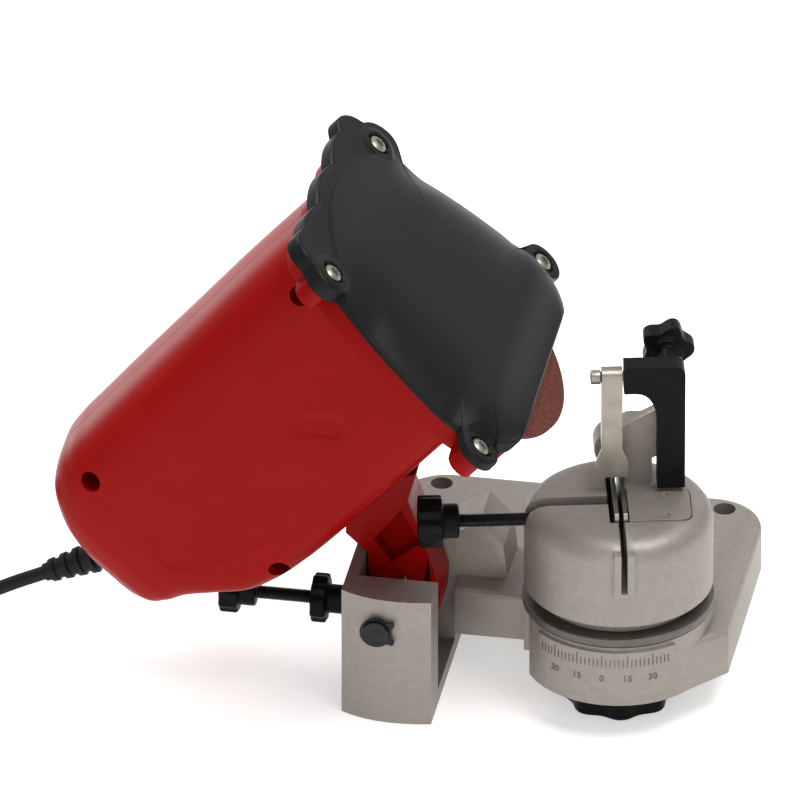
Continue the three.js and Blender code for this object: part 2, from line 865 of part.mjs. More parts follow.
// Rings of a rounded-square section; a positive inset draws the wall's inner side
function housingRings(inset) {
  const sides = 24;
  const middle = (housingTop + housingBottom) / 2;
  return housingShares.map(([along, up, down, wide], index) => {
    const top = middle - (housingSpan / 2) * up + inset;
    const bottom = middle + (housingSpan / 2) * down - inset;
    const centre = (top + bottom) / 2;
    const tall = Math.max((bottom - top) / 2, inset / 2);
    const half = Math.max(housingHalf * wide - inset, inset / 2);
    const end = index === housingShares.length - 1 ? inset : 0;
    const start = index === 0 ? overrun * Math.sign(inset) : 0;
    const height = housingFront - housingLength * along + end + start;
    return Array.from({ length: sides }, (_, i) => {
      const angle = (i / sides) * Math.PI * 2;
      const share = Math.cos(angle) < 0 ? topCornerShare : cornerShare;
      const round = (value) => Math.sign(value) * Math.abs(value) ** share;
      return [centre + tall * round(Math.cos(angle)), -half * round(Math.sin(angle)), height];
    });
  });
}
const outerSkin = loft(housingRings(0));
const innerSkin = loft(housingRings(housingWall));
const clearSkin = loft(housingRings(-gap));
const far = housingLength * 2;
const frontSpace = block([-far, -far, -far], [far, -gap / 2, far]);
const rearSpace = block([-far, gap / 2, -far], [far, far, far]);

// Shell screws as shares of the housing's height from its top and of its length from its front
const shellScrewShares = [
  [0.15, 0.07],
  [0.155, 0.8],
  [0.915, 0.65],
];
const shellScrewPlaces = shellScrewShares.map(([across, along]) => [
  housingTop + housingSpan * across,
  housingFront - housingLength * along,
]);
const wellFloor = -housingHalf * 0.4;
const rotorEnd = motorStart - rotorLength;
const frontBearingZ = housingFront - bearingWidth / 2;
const rearBearingZ = rotorEnd - bearingWidth * 1.6;

// The boot leaves the housing's rear end along this line
const bootRoot = head.localToWorld(new THREE.Vector3(bootRootX, 0, housingRear - bootRootOut));
const bootTip = head.localToWorld(new THREE.Vector3(bootTipX, 0, housingRear - bootTipOut));
const bootAim = bootTip.clone().sub(bootRoot).normalize();
const bootFrom = bootTip.clone().addScaledVector(bootAim, -bootLength);
const bootNeck = bootRearRadius + gap;
function alongBoot(body) {
  return inHead(aimed(body, bootAim.toArray(), bootFrom.toArray()));
}

function switchBox(low, grow) {
  const x = (housingTop + housingBottom) / 2;
  const z = motorStart - rotorLength / 2;
  return block(
    [x - switchWidth / 2 - grow, low, z - switchLength / 2 - grow],
    [x + switchWidth / 2 + grow, housingHalf + switchProud, z + switchLength / 2 + grow],
  );
}

// One half of the housing: wall, screw posts, rear bearing seat and stator cradle
function shell(space, side) {
  const low = Math.min(0, side * housingHalf);
  const high = Math.max(0, side * housingHalf);
  const wall = cut(outerSkin, innerSkin);
  const posts = shellScrewPlaces.map((place) =>
    rod("y", low, high, place, shellScrewWell + housingWall, 12).intersect(outerSkin),
  );
  const seatLow = rearBearingZ - bearingWidth / 2;
  const seat = rod("z", seatLow, seatLow + bearingWidth, [0, 0], bearingRadius + housingWall, 32);
  const strut = block([-housingWall, low, seatLow], [housingWall, high, seatLow + bearingWidth]);
  const cradleWide = statorRadius * 0.6;
  const cradles = [0.2, 0.8].map((share) => {
    const z = motorStart - statorLength * share;
    return block([-cradleWide, low, z - housingWall / 2], [cradleWide, high, z + housingWall / 2]);
  });
  const ribs = join(strut, ...cradles).intersect(outerSkin);
  const wells = shellScrewPlaces.map((place) =>
    side < 0
      ? rod("y", -housingHalf - overrun, wellFloor, place, shellScrewWell, 14)
      : rod("y", -overrun, housingHalf * 0.4, place, shellScrewRadius + gap, 8),
  );
  const shanks = shellScrewPlaces.map((place) =>
    rod("y", wellFloor - overrun, overrun, place, shellScrewRadius + gap, 8),
  );
  const body = cut(
    join(wall, seat, ribs, ...posts),
    rod("z", seatLow - overrun, motorStart + overrun, [0, 0], bearingRadius + gap, 32),
    rod("z", motorStart - statorLength - overrun, motorStart + overrun, [0, 0], statorRadius + gap, 40),
    ...wells,
    ...(side < 0 ? shanks : [switchBox(housingHalf - switchDepth - overrun, gap * 2)]),
    alongBoot(rod("z", -bootLength, bootLength, [0, 0], bootNeck + gap, 24)),
  );
  return body.intersect(space);
}
addTo(head, "front_shell", shell(frontSpace, -1), redPlastic);
addTo(head, "rear_shell", shell(rearSpace, 1), redPlastic);
shellScrewPlaces.forEach(([x, z], index) => {
  const screw = join(
    rod("y", wellFloor - shellScrewHead, wellFloor - gap, [x, z], shellScrewHead, 16),
    rod("y", wellFloor - gap, housingHalf * 0.35, [x, z], shellScrewRadius, 8),
  );
  addTo(head, `shell_screw_${index + 1}`, screw, darkSteel);
});
addTo(head, "power_switch", switchBox(housingHalf - switchDepth, 0), blackPlastic);

// Cord boot: ribbed, with a neck held between the shells
function cordBoot() {
  const profile = [
    [0, 0],
    [bootNeck, 0],
  ];
  const from = overrun;
  for (let i = 0; i < bootRibs; i += 1) {
    const start = from + ((bootLength - from) * i) / bootRibs;
    const end = from + ((bootLength - from) * (i + 0.6)) / bootRibs;
    const share = i / (bootRibs - 1);
    const radius = bootFrontRadius + (bootRearRadius - bootFrontRadius) * share;
    const waist = radius * 0.82;
    profile.push([waist, start + gap], [radius, start + gap * 2], [radius, end], [waist, end + gap]);
  }
  profile.push([bootRearRadius * 0.82, bootLength], [0, bootLength]);
  const outside = cut(alongBoot(revolve(profile, 14)), clearSkin);
  const neck = alongBoot(rod("z", -housingWall, bootLength / 2, [0, 0], bootNeck, 20));
  return join(outside, neck);
}
addTo(head, "cord_boot", cordBoot(), rubber);

// Motor: stator, rotor with its spindle, bearings
addTo(
  head,
  "motor_stator",
  cut(
    rod("z", motorStart - statorLength, motorStart, [0, 0], statorRadius, 28),
    rod("z", -far, overrun, [0, 0], rotorRadius + gap * 2, 28),
  ),
  steel,
);
const spindleTop = clampThick + nutHeight + discThick;
addTo(
  head,
  "motor_rotor",
  join(
    rod("z", rotorEnd, motorStart + overrun, [0, 0], rotorRadius, 28),
    rod("z", rearBearingZ - bearingWidth / 2, spindleTop, [0, 0], spindleRadius, 24),
  ),
  copper,
);
function bearing(z) {
  return cut(
    rod("z", z - bearingWidth / 2, z + bearingWidth / 2, [0, 0], bearingRadius, 28),
    rod("z", z - bearingWidth, z + bearingWidth, [0, 0], spindleRadius + gap, 24),
  );
}
addTo(head, "front_bearing", bearing(frontBearingZ), steel);
addTo(head, "rear_bearing", bearing(rearBearingZ), steel);

// Guard outline: bowed sides, a straight working edge and scallops at the rear
function guardOutline(inset) {
  const shape = new THREE.Shape();
  const front = guardFront - inset;
  const wide = guardWide - inset;
  const narrow = guardNarrow - inset;
  const rear = guardRear + inset;
  shape.moveTo(front, -wide * 0.72);
  shape.lineTo(front, wide * 0.72);
  shape.quadraticCurveTo(front * 0.85, wide, 0, wide);
  shape.quadraticCurveTo(rear * 0.45, wide * 0.93, rear * 0.78, narrow + guardScallop);
  shape.lineTo(rear * 0.93, narrow);
  const scallops = 3;
  const pitch = (2 * narrow) / scallops;
  for (let i = 0; i < scallops; i += 1) {
    const y = narrow - i * pitch;
    shape.quadraticCurveTo(rear - guardScallop, y - pitch * 0.45, rear * 0.95, y - pitch);
  }
  shape.lineTo(rear * 0.78, -narrow - guardScallop);
  shape.quadraticCurveTo(rear * 0.45, -wide * 0.93, 0, -wide);
  shape.quadraticCurveTo(front * 0.85, -wide, front, -wide * 0.72);
  return shape;
}
const guardEars = [
  [frontEarX, guardWide + frontEarOut, frontEarHeight],
  [frontEarX, -guardWide - frontEarOut, frontEarHeight],
  [rearEarX, guardNarrow + rearEarOut, rearEarHeight],
  [rearEarX, -guardNarrow - rearEarOut, rearEarHeight],
];

// The outline raised over a low lip and drawn in to a bowed crown, as rings for the loft
function crowned(outline, top) {
  const points = outline.getPoints(4);
  if (points[0].distanceTo(points[points.length - 1]) < gap) points.pop();
  const low = guardBack + guardLip;
  const rings = [points.map(({ x, y }) => [x, y, guardBack])];
  [0, 0.35, 0.7, 0.9, 1].forEach((share) => {
    const draw = 1 - share * crownShare;
    const height = low + (top - low) * (1 - (1 - share) ** 1.4);
    rings.push(points.map(({ x, y }) => [crownCentre + (x - crownCentre) * draw, y * draw, height]));
  });
  return loft(rings);
}

function discGuard() {
  const ears = guardEars.map(([x, y, height]) =>
    rod("z", guardBack, guardBack + height, [x, y], earRadius, 18),
  );
  const posts = guardEars.map(([x, y, height]) =>
    rod("z", guardBack, guardBack + height, [x, y], earRadius * 0.8, 12),
  );
  const holes = guardEars.map(([x, y]) =>
    rod("z", guardBack - overrun, guardTop, [x, y], guardScrewRadius + gap, 8),
  );
  const sinks = guardEars.map(([x, y, height]) =>
    rod("z", guardBack + height - overrun, guardTop + overrun, [x, y], guardScrewHead + gap * 2, 12),
  );
  const hollow = crowned(guardOutline(guardWall), guardTop - guardWall);
  return cut(join(cut(join(crowned(guardOutline(0), guardTop), ...ears), hollow), ...posts), ...holes, ...sinks);
}
addTo(head, "disc_guard", discGuard(), blackPlastic);

// Red flange between the housing and the guard, recessed for the disc and its inner clamp
const discHalf = discThick / 2;
const flangeLow = housingFront + gap;
function motorFlange() {
  const high = guardBack - gap;
  const tabs = guardEars.flatMap(([x, y]) => [
    rod("z", flangeLow, high, [x, y], tabRadius, 14),
    block(
      [x - tabRadius, Math.min(y, y * 0.7), flangeLow],
      [x + tabRadius, Math.max(y, y * 0.7), high],
    ),
  ]);
  const holes = guardEars.map(([x, y]) =>
    rod("z", flangeLow - overrun, high + overrun, [x, y], guardScrewRadius + gap, 8),
  );
  const recessFloor = -discHalf - recessClear;
  const hollowFloor = -discHalf - gap * 2 - clampThick;
  return cut(
    join(prism(guardOutline(guardWall), flangeLow, high, 6), ...tabs),
    rod("z", recessFloor, high + overrun, [0, 0], discRadius + recessRim, 60),
    rod("z", hollowFloor, high + overrun, [0, 0], clampRadius + recessClear, 28),
    rod("z", flangeLow - overrun, high + overrun, [0, 0], spindleRadius * 1.6, 24),
    ...holes,
  );
}
addTo(head, "motor_flange", motorFlange(), redPlastic);
guardEars.forEach(([x, y, height], index) => {
  const seat = guardBack + height - overrun + gap;
  const screw = join(
    rod("z", seat, seat + guardScrewHead * 0.7, [x, y], guardScrewHead, 14),
    rod("z", flangeLow + gap, seat + gap, [x, y], guardScrewRadius, 8),
  );
  addTo(head, `guard_screw_${index + 1}`, screw, steel);
});

// Grinding disc between its two flanges, held by the nut
function turnedRing(low, high, radius, bore, sides = 28) {
  return cut(
    rod("z", low, high, [0, 0], radius, sides),
    rod("z", low - overrun, high + overrun, [0, 0], bore, 24),
  );
}
const bore = spindleRadius + gap;
addTo(head, "grinding_disc", turnedRing(-discHalf, discHalf, discRadius, discBore, 60), abrasive);
addTo(
  head,
  "inner_flange",
  join(
    turnedRing(-discHalf - gap - clampThick, -discHalf - gap, clampRadius, bore),
    turnedRing(-discHalf - gap - clampThick, discHalf - gap, discBore - gap, bore),
  ),
  steel,
);
addTo(head, "outer_flange", turnedRing(discHalf + gap, discHalf + gap + clampThick, clampRadius, bore), steel);
const nutLow = discHalf + gap * 2 + clampThick;
addTo(head, "spindle_nut", turnedRing(nutLow, nutLow + nutHeight, nutRadius, bore, 6), steel);

// The red arm: hub, ribbed web and the heel that meets the depth stop
function headArm() {
  const left = wallInner + gap * 2;
  const outline = new THREE.Shape();
  const heelLeft = pinX - hubRadius * 0.5;
  const heelBottom = pinZ - hubRadius * 1.8;
  const right = blockRight - gap * 6;
  outline.moveTo(left - hubRadius, earTop + hubRadius);
  outline.lineTo(left, earTop + gap * 2);
  outline.lineTo(pinX - hubRadius, pinZ);
  outline.lineTo(heelLeft, pinZ - hubRadius * 0.8);
  outline.lineTo(heelLeft, heelBottom);
  outline.lineTo(right - hubRadius * 0.6, heelBottom);
  outline.quadraticCurveTo(right, heelBottom, right, pinZ);
  outline.quadraticCurveTo(right - hubRadius * 0.8, pinZ + hubRadius * 2.7, right - hubRadius * 1.5, pinZ + hubRadius * 4.6);
  outline.lineTo(right - hubRadius * 1.15, pinZ + hubRadius * 6);
  outline.lineTo(left - hubRadius, pinZ + hubRadius * 5);
  outline.closePath();
  const web = standing(outline, armFront, armRear, 8);
  const hub = rod("y", hubFront, earRearFront - gap * 2, [pinX, pinZ], hubRadius, 28);
  const bay = new THREE.Shape();
  bay.moveTo(pinX, pinZ + hubRadius + armWall * 0.6);
  bay.lineTo(right - hubRadius * 0.9, pinZ + hubRadius * 2.4);
  bay.lineTo(pinX + armWall, pinZ + hubRadius * 4.1);
  bay.lineTo(pinX - hubRadius * 0.8, pinZ + hubRadius * 2.4);
  bay.closePath();
  const corner = new THREE.Shape();
  corner.moveTo(pinX + hubRadius + armWall, pinZ + hubRadius * 0.2);
  corner.lineTo(right - armWall, pinZ + hubRadius * 0.2);
  corner.lineTo(right - armWall * 1.3, pinZ + hubRadius * 1.7);
  corner.closePath();
  const depth = (armRear - armFront) * 0.36;
  const bays = [bay, corner].flatMap((shape) => [
    standing(shape, armFront - overrun, armFront + depth, 6),
    standing(shape, armRear - depth, armRear + overrun, 6),
  ]);
  const bored = cut(
    join(web, hub),
    ...bays,
    rod("y", earFrontBack, earRearFront, [pinX, pinZ], pinRadius + gap, 28),
  );
  return cut(inHead(bored), clearSkin);
}
addTo(head, "head_arm", headArm(), redPlastic);

// A tube of a few sides along points, with one step between neighbours
function tube(points, radius, sides, steps) {
  const curve = new THREE.CatmullRomCurve3(points, false, "centripetal");
  const section = new THREE.Shape();
  for (let i = 0; i < sides; i += 1) {
    const angle = ((i + 0.5) / sides) * Math.PI * 2;
    const place = [radius * Math.cos(angle), radius * Math.sin(angle)];
    if (i === 0) section.moveTo(...place);
    else section.lineTo(...place);
  }
  section.closePath();
  return solid(new THREE.ExtrudeGeometry(section, { steps, extrudePath: curve, bevelEnabled: false }));
}

// Return spring round the pin, between the front ear and the arm's hub
function returnSpring() {
  const room = hubFront - earFrontBack - springWire * 2 - gap * 3;
  const first = earFrontBack + springWire + gap * 1.5;
  const points = [];
  const perTurn = 8;
  const count = springTurns * perTurn;
  for (let i = 0; i <= count; i += 1) {
    const angle = (i / perTurn) * Math.PI * 2;
    const y = first + (room * i) / count;
    points.push(new THREE.Vector3(pinX + springRadius * Math.cos(angle), y, pinZ + springRadius * Math.sin(angle)));
  }
  const start = points[0].clone();
  start.z -= springLeg;
  const end = points[count].clone();
  end.z += springLeg;
  return tube([start, ...points, end], springWire, 6, count + 2);
}
addTo(part, "return_spring", returnSpring(), steel);

// Cord: a free run from the boot, a piled coil on the floor and a tail to the plug
const cordZ = cordFloor + cordRadius;
const layerRise = cordRadius * 2 + gap * 2;
const coilFront = coilY - coilRadius;
const straight = cordRadius * 2;
const coilTurns = layerTurns * layerCount;
const loopSteps = 24;
const plugZ = cordFloor + plugHeight / 2;

function eased(share) {
  const held = THREE.MathUtils.clamp(share, 0, 1);
  return held * held * (3 - 2 * held);
}

// The coil's middle line: spirals in and out again by turns, and climbs a layer where it
// reverses; past its last turn it leaves outwards and sinks to the plug's height
function coilPoint(turn) {
  const layer = Math.min(Math.floor(turn / layerTurns), layerCount - 1);
  const within = Math.min(turn - layer * layerTurns, layerTurns);
  const past = Math.max(turn - coilTurns, 0) / tailTurns;
  const inward = layer % 2 === 0 ? within : layerTurns - within;
  const radius = coilRadius - coilPitch * inward + tailOut * eased(past);
  const angle = -Math.PI / 2 - turn * Math.PI * 2;
  let height = cordZ;
  for (let change = 1; change < layerCount; change += 1) {
    height += layerRise * eased((turn - change * layerTurns + 0.25) / 0.5);
  }
  height += (plugZ - cordZ - layerRise * (layerCount - 1)) * eased((past - 0.4) / 0.6);
  return new THREE.Vector3(coilX + radius * Math.cos(angle), coilY + radius * Math.sin(angle), height);
}
const allTurns = coilTurns + tailTurns;
const coilSteps = Math.round(allTurns * loopSteps);
const tailY = coilY + coilRadius + tailOut;
const coilLine = [new THREE.Vector3(coilX + straight, coilFront, cordZ)];
for (let i = 0; i <= coilSteps; i += 1) coilLine.push(coilPoint((allTurns * i) / coilSteps));
coilLine.push(new THREE.Vector3(coilX + straight, tailY, plugZ));

// The coil's skin: one six-sided ring square to the line at each point
function ringsAlong(line, radius, sides) {
  return line.map((place, index) => {
    const before = line[Math.max(index - 1, 0)];
    const after = line[Math.min(index + 1, line.length - 1)];
    const forward = after.clone().sub(before).normalize();
    const side = new THREE.Vector3(0, 0, 1).cross(forward).normalize();
    const up = forward.clone().cross(side);
    return Array.from({ length: sides }, (_, i) => {
      const angle = ((i + 0.5) / sides) * Math.PI * 2;
      const point = place.clone();
      point.addScaledVector(side, radius * Math.cos(angle));
      point.addScaledVector(up, radius * Math.sin(angle));
      return point.toArray();
    });
  });
}
addTo(part, "cord_coil", loft(ringsAlong(coilLine, cordRadius, 6)), rubber);

// Least gap between the coil's loops, on points of its middle line
let least = Infinity;
const sampled = Array.from({ length: coilSteps * 2 + 1 }, (_, i) => coilPoint((allTurns * i) / (coilSteps * 2)));
sampled.forEach((a, i) => {
  for (let j = i + loopSteps; j < sampled.length; j += 1) least = Math.min(least, a.distanceTo(sampled[j]));
});
console.log(`least gap in the coil ${(least - cordRadius * 2).toFixed(2)} mm`);

const runStart = bootTip.clone().addScaledVector(bootAim, gap);
const runLine = [
  runStart,
  runStart.clone().addScaledVector(bootAim, straight * 2),
  new THREE.Vector3(-246, -91.5, -1.5),
  new THREE.Vector3(-268, -93.6, -10.6),
  new THREE.Vector3(-290, -93.4, cordZ),
  new THREE.Vector3(-308, coilFront, cordZ),
  new THREE.Vector3(coilX + straight + gap, coilFront, cordZ),
];
addTo(part, "cord_run", tube(runLine, cordRadius, 8, 14), rubber);

const collarLength = plugHeight;
const plugStart = coilX + straight * 2;
const plugFace = plugStart + collarLength + plugLength;
const tailLine = [
  new THREE.Vector3(coilX + straight + gap, tailY, plugZ),
  new THREE.Vector3(plugStart - gap, tailY, plugZ),
];
addTo(part, "cord_tail", tube(tailLine, cordRadius, 8, 2), rubber);

// Mains plug lying flat: an oval body with a collar, and two round pins
function plugBody() {
  const half = plugHeight / 2;
  const section = new THREE.Shape();
  section.absarc(plugWidth / 2 - half, 0, half, -Math.PI / 2, Math.PI / 2, false);
  section.absarc(half - plugWidth / 2, 0, half, Math.PI / 2, Math.PI * 1.5, false);
  const body = prism(section, 0, plugLength, 8);
  const collar = rod("z", plugLength - half, plugLength + collarLength, [0, 0], half * 0.85, 20, cordRadius * 1.25);
  const upright = new THREE.Matrix4().makeBasis(
    new THREE.Vector3(0, -1, 0),
    new THREE.Vector3(0, 0, 1),
    new THREE.Vector3(-1, 0, 0),
  );
  const placed = upright.setPosition(plugFace, tailY, plugZ);
  return turned(join(body, collar), placed);
}
addTo(part, "plug_body", plugBody(), rubber);
[-1, 1].forEach((side) => {
  const y = tailY + (side * plugPinSpacing) / 2;
  const root = plugFace + gap;
  const pin = rod("x", root, root + plugPinLength, [y, plugZ], plugPinRadius, 14);
  addTo(part, side < 0 ? "plug_pin_left" : "plug_pin_right", pin, steel);
});

export default part;
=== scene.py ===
import math

import bmesh
import bpy
import numpy as np
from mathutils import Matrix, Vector


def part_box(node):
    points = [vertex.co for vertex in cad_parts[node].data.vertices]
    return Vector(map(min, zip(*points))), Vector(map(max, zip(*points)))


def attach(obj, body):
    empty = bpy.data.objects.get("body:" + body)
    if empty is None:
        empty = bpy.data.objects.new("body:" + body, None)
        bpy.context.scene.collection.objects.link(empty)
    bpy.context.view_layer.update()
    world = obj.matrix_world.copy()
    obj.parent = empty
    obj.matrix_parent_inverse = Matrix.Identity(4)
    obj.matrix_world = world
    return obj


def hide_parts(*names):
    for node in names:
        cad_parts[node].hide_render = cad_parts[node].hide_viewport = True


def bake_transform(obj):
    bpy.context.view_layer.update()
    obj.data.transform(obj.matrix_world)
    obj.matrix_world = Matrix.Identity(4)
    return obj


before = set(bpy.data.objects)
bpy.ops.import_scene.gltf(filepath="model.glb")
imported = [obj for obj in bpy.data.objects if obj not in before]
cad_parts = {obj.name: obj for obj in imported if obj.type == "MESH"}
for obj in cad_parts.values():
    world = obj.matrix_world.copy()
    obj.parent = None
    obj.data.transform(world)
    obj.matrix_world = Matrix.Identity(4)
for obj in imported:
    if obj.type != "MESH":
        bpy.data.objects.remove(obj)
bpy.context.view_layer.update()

mm = 0.001
print("frame loaded")


# Camera: the photographed view, from the right front and above
view = {"aim": (-66.5, -63.9, 98.7), "azimuth": 10, "elevation": 31, "distance": 12000, "lens": 1300,
        "sensor": 36}
azimuth, elevation = math.radians(view["azimuth"]), math.radians(view["elevation"])
back = Vector((
    math.sin(azimuth) * math.cos(elevation),
    -math.cos(azimuth) * math.cos(elevation),
    math.sin(elevation),
))
camera = bpy.data.objects.new("camera", bpy.data.cameras.new("camera"))
camera.location = (Vector(view["aim"]) + back * view["distance"]) * mm
camera.rotation_euler = (-back).to_track_quat("-Z", "Y").to_euler()
camera.data.lens = view["lens"]
camera.data.sensor_width = view["sensor"]
bpy.context.scene.collection.objects.link(camera)
bpy.context.scene.camera = camera
bpy.context.scene.view_settings.view_transform = "Standard"


# Colours, nodes and meshes


# An sRGB hex colour as linear red, green, blue and a full alpha.
def linearColour(hexCode):
    share = np.array([int(hexCode[i:i + 2], 16) for i in (1, 3, 5)]) / 255
    straight = np.where(share <= 0.04045, share / 12.92, ((share + 0.055) / 1.055) ** 2.4)
    return (*straight.tolist(), 1.0)


# Adds a node, sets its options, and fills inputs with values or with links from (node, output).
def addNode(tree, kind, settings, inputs):
    node = tree.nodes.new(kind)
    for name, value in settings.items():
        setattr(node, name, value)
    for name, value in inputs.items():
        if isinstance(value, tuple) and isinstance(value[0], bpy.types.Node):
            tree.links.new(value[0].outputs[value[1]], node.inputs[name])
        else:
            node.inputs[name].default_value = value
    return node


# A material whose colour is clouded by a slow noise, and whose skin is roughened by a fine one.
# mottle is (size in mm, second colour, how much), grain is (size in mm, height in mm, how much
# the roughness varies), and streak stretches the fine noise along one axis, as brushing does.
def finish(name, colour, roughness, metallic=0.0, mottle=None, grain=None, gloss=0.5, streak=None):
    made = bpy.data.materials.new(name)
    made.use_nodes = True
    tree = made.node_tree
    shader = tree.nodes["Principled BSDF"]
    shader.inputs["Metallic"].default_value = metallic
    shader.inputs["Roughness"].default_value = roughness
    shader.inputs["Specular IOR Level"].default_value = gloss
    shader.inputs["Base Color"].default_value = linearColour(colour)
    place = addNode(tree, "ShaderNodeTexCoord", {}, {})
    if mottle:
        size, second, amount = mottle
        cloud = addNode(tree, "ShaderNodeTexNoise", {}, {
            "Vector": (place, "Object"), "Scale": 1 / (size * mm), "Detail": 5.0, "Roughness": 0.6})
        spread = addNode(tree, "ShaderNodeMapRange", {}, {
            "Value": (cloud, "Fac"), "From Min": 0.36, "From Max": 0.66, "To Max": amount})
        blend = addNode(tree, "ShaderNodeMix", {"data_type": "RGBA"}, {
            0: (spread, "Result"), 6: linearColour(colour), 7: linearColour(second)})
        tree.links.new(blend.outputs[2], shader.inputs["Base Color"])
    if grain:
        size, height, varies = grain
        stretch = addNode(tree, "ShaderNodeMapping", {}, {
            "Vector": (place, "Object"), "Scale": streak or (1.0, 1.0, 1.0)})
        fine = addNode(tree, "ShaderNodeTexNoise", {}, {
            "Vector": (stretch, "Vector"), "Scale": 1 / (size * mm), "Detail": 3.0, "Roughness": 0.55})
        bump = addNode(tree, "ShaderNodeBump", {}, {
            "Height": (fine, "Fac"), "Distance": height * mm, "Strength": 0.8})
        tree.links.new(bump.outputs["Normal"], shader.inputs["Normal"])
        sheen = addNode(tree, "ShaderNodeMapRange", {}, {
            "Value": (fine, "Fac"), "From Min": 0.3, "From Max": 0.7,
            "To Min": roughness - varies, "To Max": roughness + varies})
        tree.links.new(sheen.outputs["Result"], shader.inputs["Roughness"])
    return made


# Die-cast aluminium, tumbled: a dull pale grey skin, clouded by the flow of the metal
castAluminium = finish("castAluminium", "#918B83", 0.5, 0.55, (3, "#827C74", 0.5), (0.6, 0.06, 0.07))
# The same casting in a darker grey where figures stand up from it: painted shade of the scale's relief
castShadow = finish("castShadow", "#5E5954", 0.6, 0.5, (3, "#6E6862", 0.6), (0.6, 0.04, 0.05))
# ABS, moulded in a fine spark-eroded mould: an even red with a soft satin highlight
mouldedAbs = finish("mouldedAbs", "#8A0907", 0.32, 0.0, (30, "#820806", 0.6), (0.6, 0.012, 0.04), 0.07)
# Glass-filled nylon for the guard: near black, satin, with the mould's leather grain
guardNylon = finish("guardNylon", "#121212", 0.42, 0.0, (14, "#0F0F0F", 0.7), (0.7, 0.035, 0.05), 0.14)
# Glass-filled nylon for the knobs: black, a little glossier on the grips
knobNylon = finish("knobNylon", "#0C0C0C", 0.42, 0.0, (6, "#121212", 0.6), (0.5, 0.02, 0.05), 0.08)
# Black-oxide steel: dark, oily and half glossy
blackenedSteel = finish("blackenedSteel", "#262628", 0.4, 0.85, (4, "#343436", 0.6), (0.5, 0.01, 0.06))
# Phosphated steel ring, rubbed by the vise: dark brownish grey
phosphatedSteel = finish("phosphatedSteel", "#64605A", 0.45, 0.6, (5, "#524E49", 0.6), (0.5, 0.012, 0.06))
# Zinc-plated steel sheet: pale, warm and brushed along its length
platedSteel = finish("platedSteel", "#979287", 0.36, 0.85, (7, "#827D73", 0.6), (0.35, 0.01, 0.06),
                     streak=(1, 1, 0.12))
# Ground steel rails: grey, with the marks of the grinding wheel
groundSteel = finish("groundSteel", "#8D8B88", 0.32, 1.0, (5, "#75736F", 0.6), (0.3, 0.012, 0.07),
                     streak=(1, 0.15, 1))
# Resin-bonded aluminium oxide: red-brown grit, quite matt; grit is drawn about four times coarser
bondedGrit = finish("bondedGrit", "#6A3023", 0.92, 0.0, (1.6, "#3E1A14", 0.85), (0.8, 0.14, 0.04))
# Soft PVC of the lead: black and faintly waxy
softPvc = finish("softPvc", "#151515", 0.52, 0.0, (8, "#1D1D1D", 0.6), (0.8, 0.012, 0.05), 0.15)
# Nickel-plated brass of the plug's pins
platedBrass = finish("platedBrass", "#CFC9BC", 0.22, 1.0, (5, "#BDB6A8", 0.5), (0.4, 0.004, 0.04))
# Enamelled copper and stacked sheet of the motor, closed inside the housing
motorCopper = finish("motorCopper", "#9A5A2C", 0.4, 0.8, (3, "#7E4420", 0.7), (0.8, 0.05, 0.06))
print("materials made")

mergeWithin = 2e-6  # metres
onAxis = 0.02  # mm, a ring this small stands for a point on the axis
leastBore = 0.3  # mm, a ring wider than this may be a bore


# A mesh from points in metres, with its doubled points merged and its faces turned outwards.
def meshOf(name, points, faces):
    mesh = bpy.data.meshes.new(name)
    mesh.from_pydata(points.tolist(), [], faces)
    tidy = bmesh.new()
    tidy.from_mesh(mesh)
    bmesh.ops.remove_doubles(tidy, verts=tidy.verts, dist=mergeWithin)
    bmesh.ops.recalc_face_normals(tidy, faces=tidy.faces)
    tidy.to_mesh(mesh)
    tidy.free()
    return mesh


# Puts a mesh in the scene on its body, shaded smooth but for edges over sharp degrees.
def addPiece(name, mesh, body, look, replaced=(), sharp=35):
    mesh.shade_smooth()
    mesh.set_sharp_from_angle(angle=math.radians(sharp))
    mesh.materials.clear()
    mesh.materials.append(look)
    piece = bpy.data.objects.new(name, mesh)
    bpy.context.scene.collection.objects.link(piece)
    if body:
        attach(piece, body)
    if replaced:
        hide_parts(*replaced)
    return piece


# Quads between neighbouring rows and columns of a grid; around joins the last column to the
# first, and closed the last row to the first.
def gridFaces(rows, columns, start=0, around=True, closed=False):
    along, across = np.arange(rows - (not closed)), np.arange(columns - (not around))
    row, column = np.meshgrid(along, across, indexing="ij")
    after, above = (column + 1) % columns, (row + 1) % rows
    corners = [row * columns + column, row * columns + after,
               above * columns + after, above * columns + column]
    return (np.stack(corners, axis=-1).reshape(-1, 4) + start).tolist()


# A closed skin over a grid whose rows are rings: quads along it and a fan at each end.
def skin(grid):
    rows, columns = grid.shape[:2]
    points = np.concatenate([grid.reshape(-1, 3), grid[:1].mean(axis=1), grid[-1:].mean(axis=1)])
    first, last = rows * columns, rows * columns + 1
    ring = np.arange(columns)
    after = (ring + 1) % columns
    low = np.stack([np.full(columns, first), after, ring], axis=-1)
    top = (rows - 1) * columns
    high = np.stack([np.full(columns, last), ring + top, after + top], axis=-1)
    return points, gridFaces(rows, columns) + low.tolist() + high.tolist()


# Values between known places: on each stretch a cubic whose ends have the table's own slopes.
def eased(at, known, values):
    slopes = np.gradient(values, known)
    place = np.clip(np.searchsorted(known, at, side="right") - 1, 0, len(known) - 2)
    width = known[place + 1] - known[place]
    t = (at - known[place]) / width
    return ((1 + 2 * t) * (1 - t) ** 2 * values[place] + t * (1 - t) ** 2 * width * slopes[place]
            + t * t * (3 - 2 * t) * values[place + 1] + t * t * (t - 1) * width * slopes[place + 1])


# Goes smoothly from 0 to 1 while share does, and is level outside.
def rise(share):
    share = np.clip(share, 0, 1)
    return share * share * (3 - 2 * share)


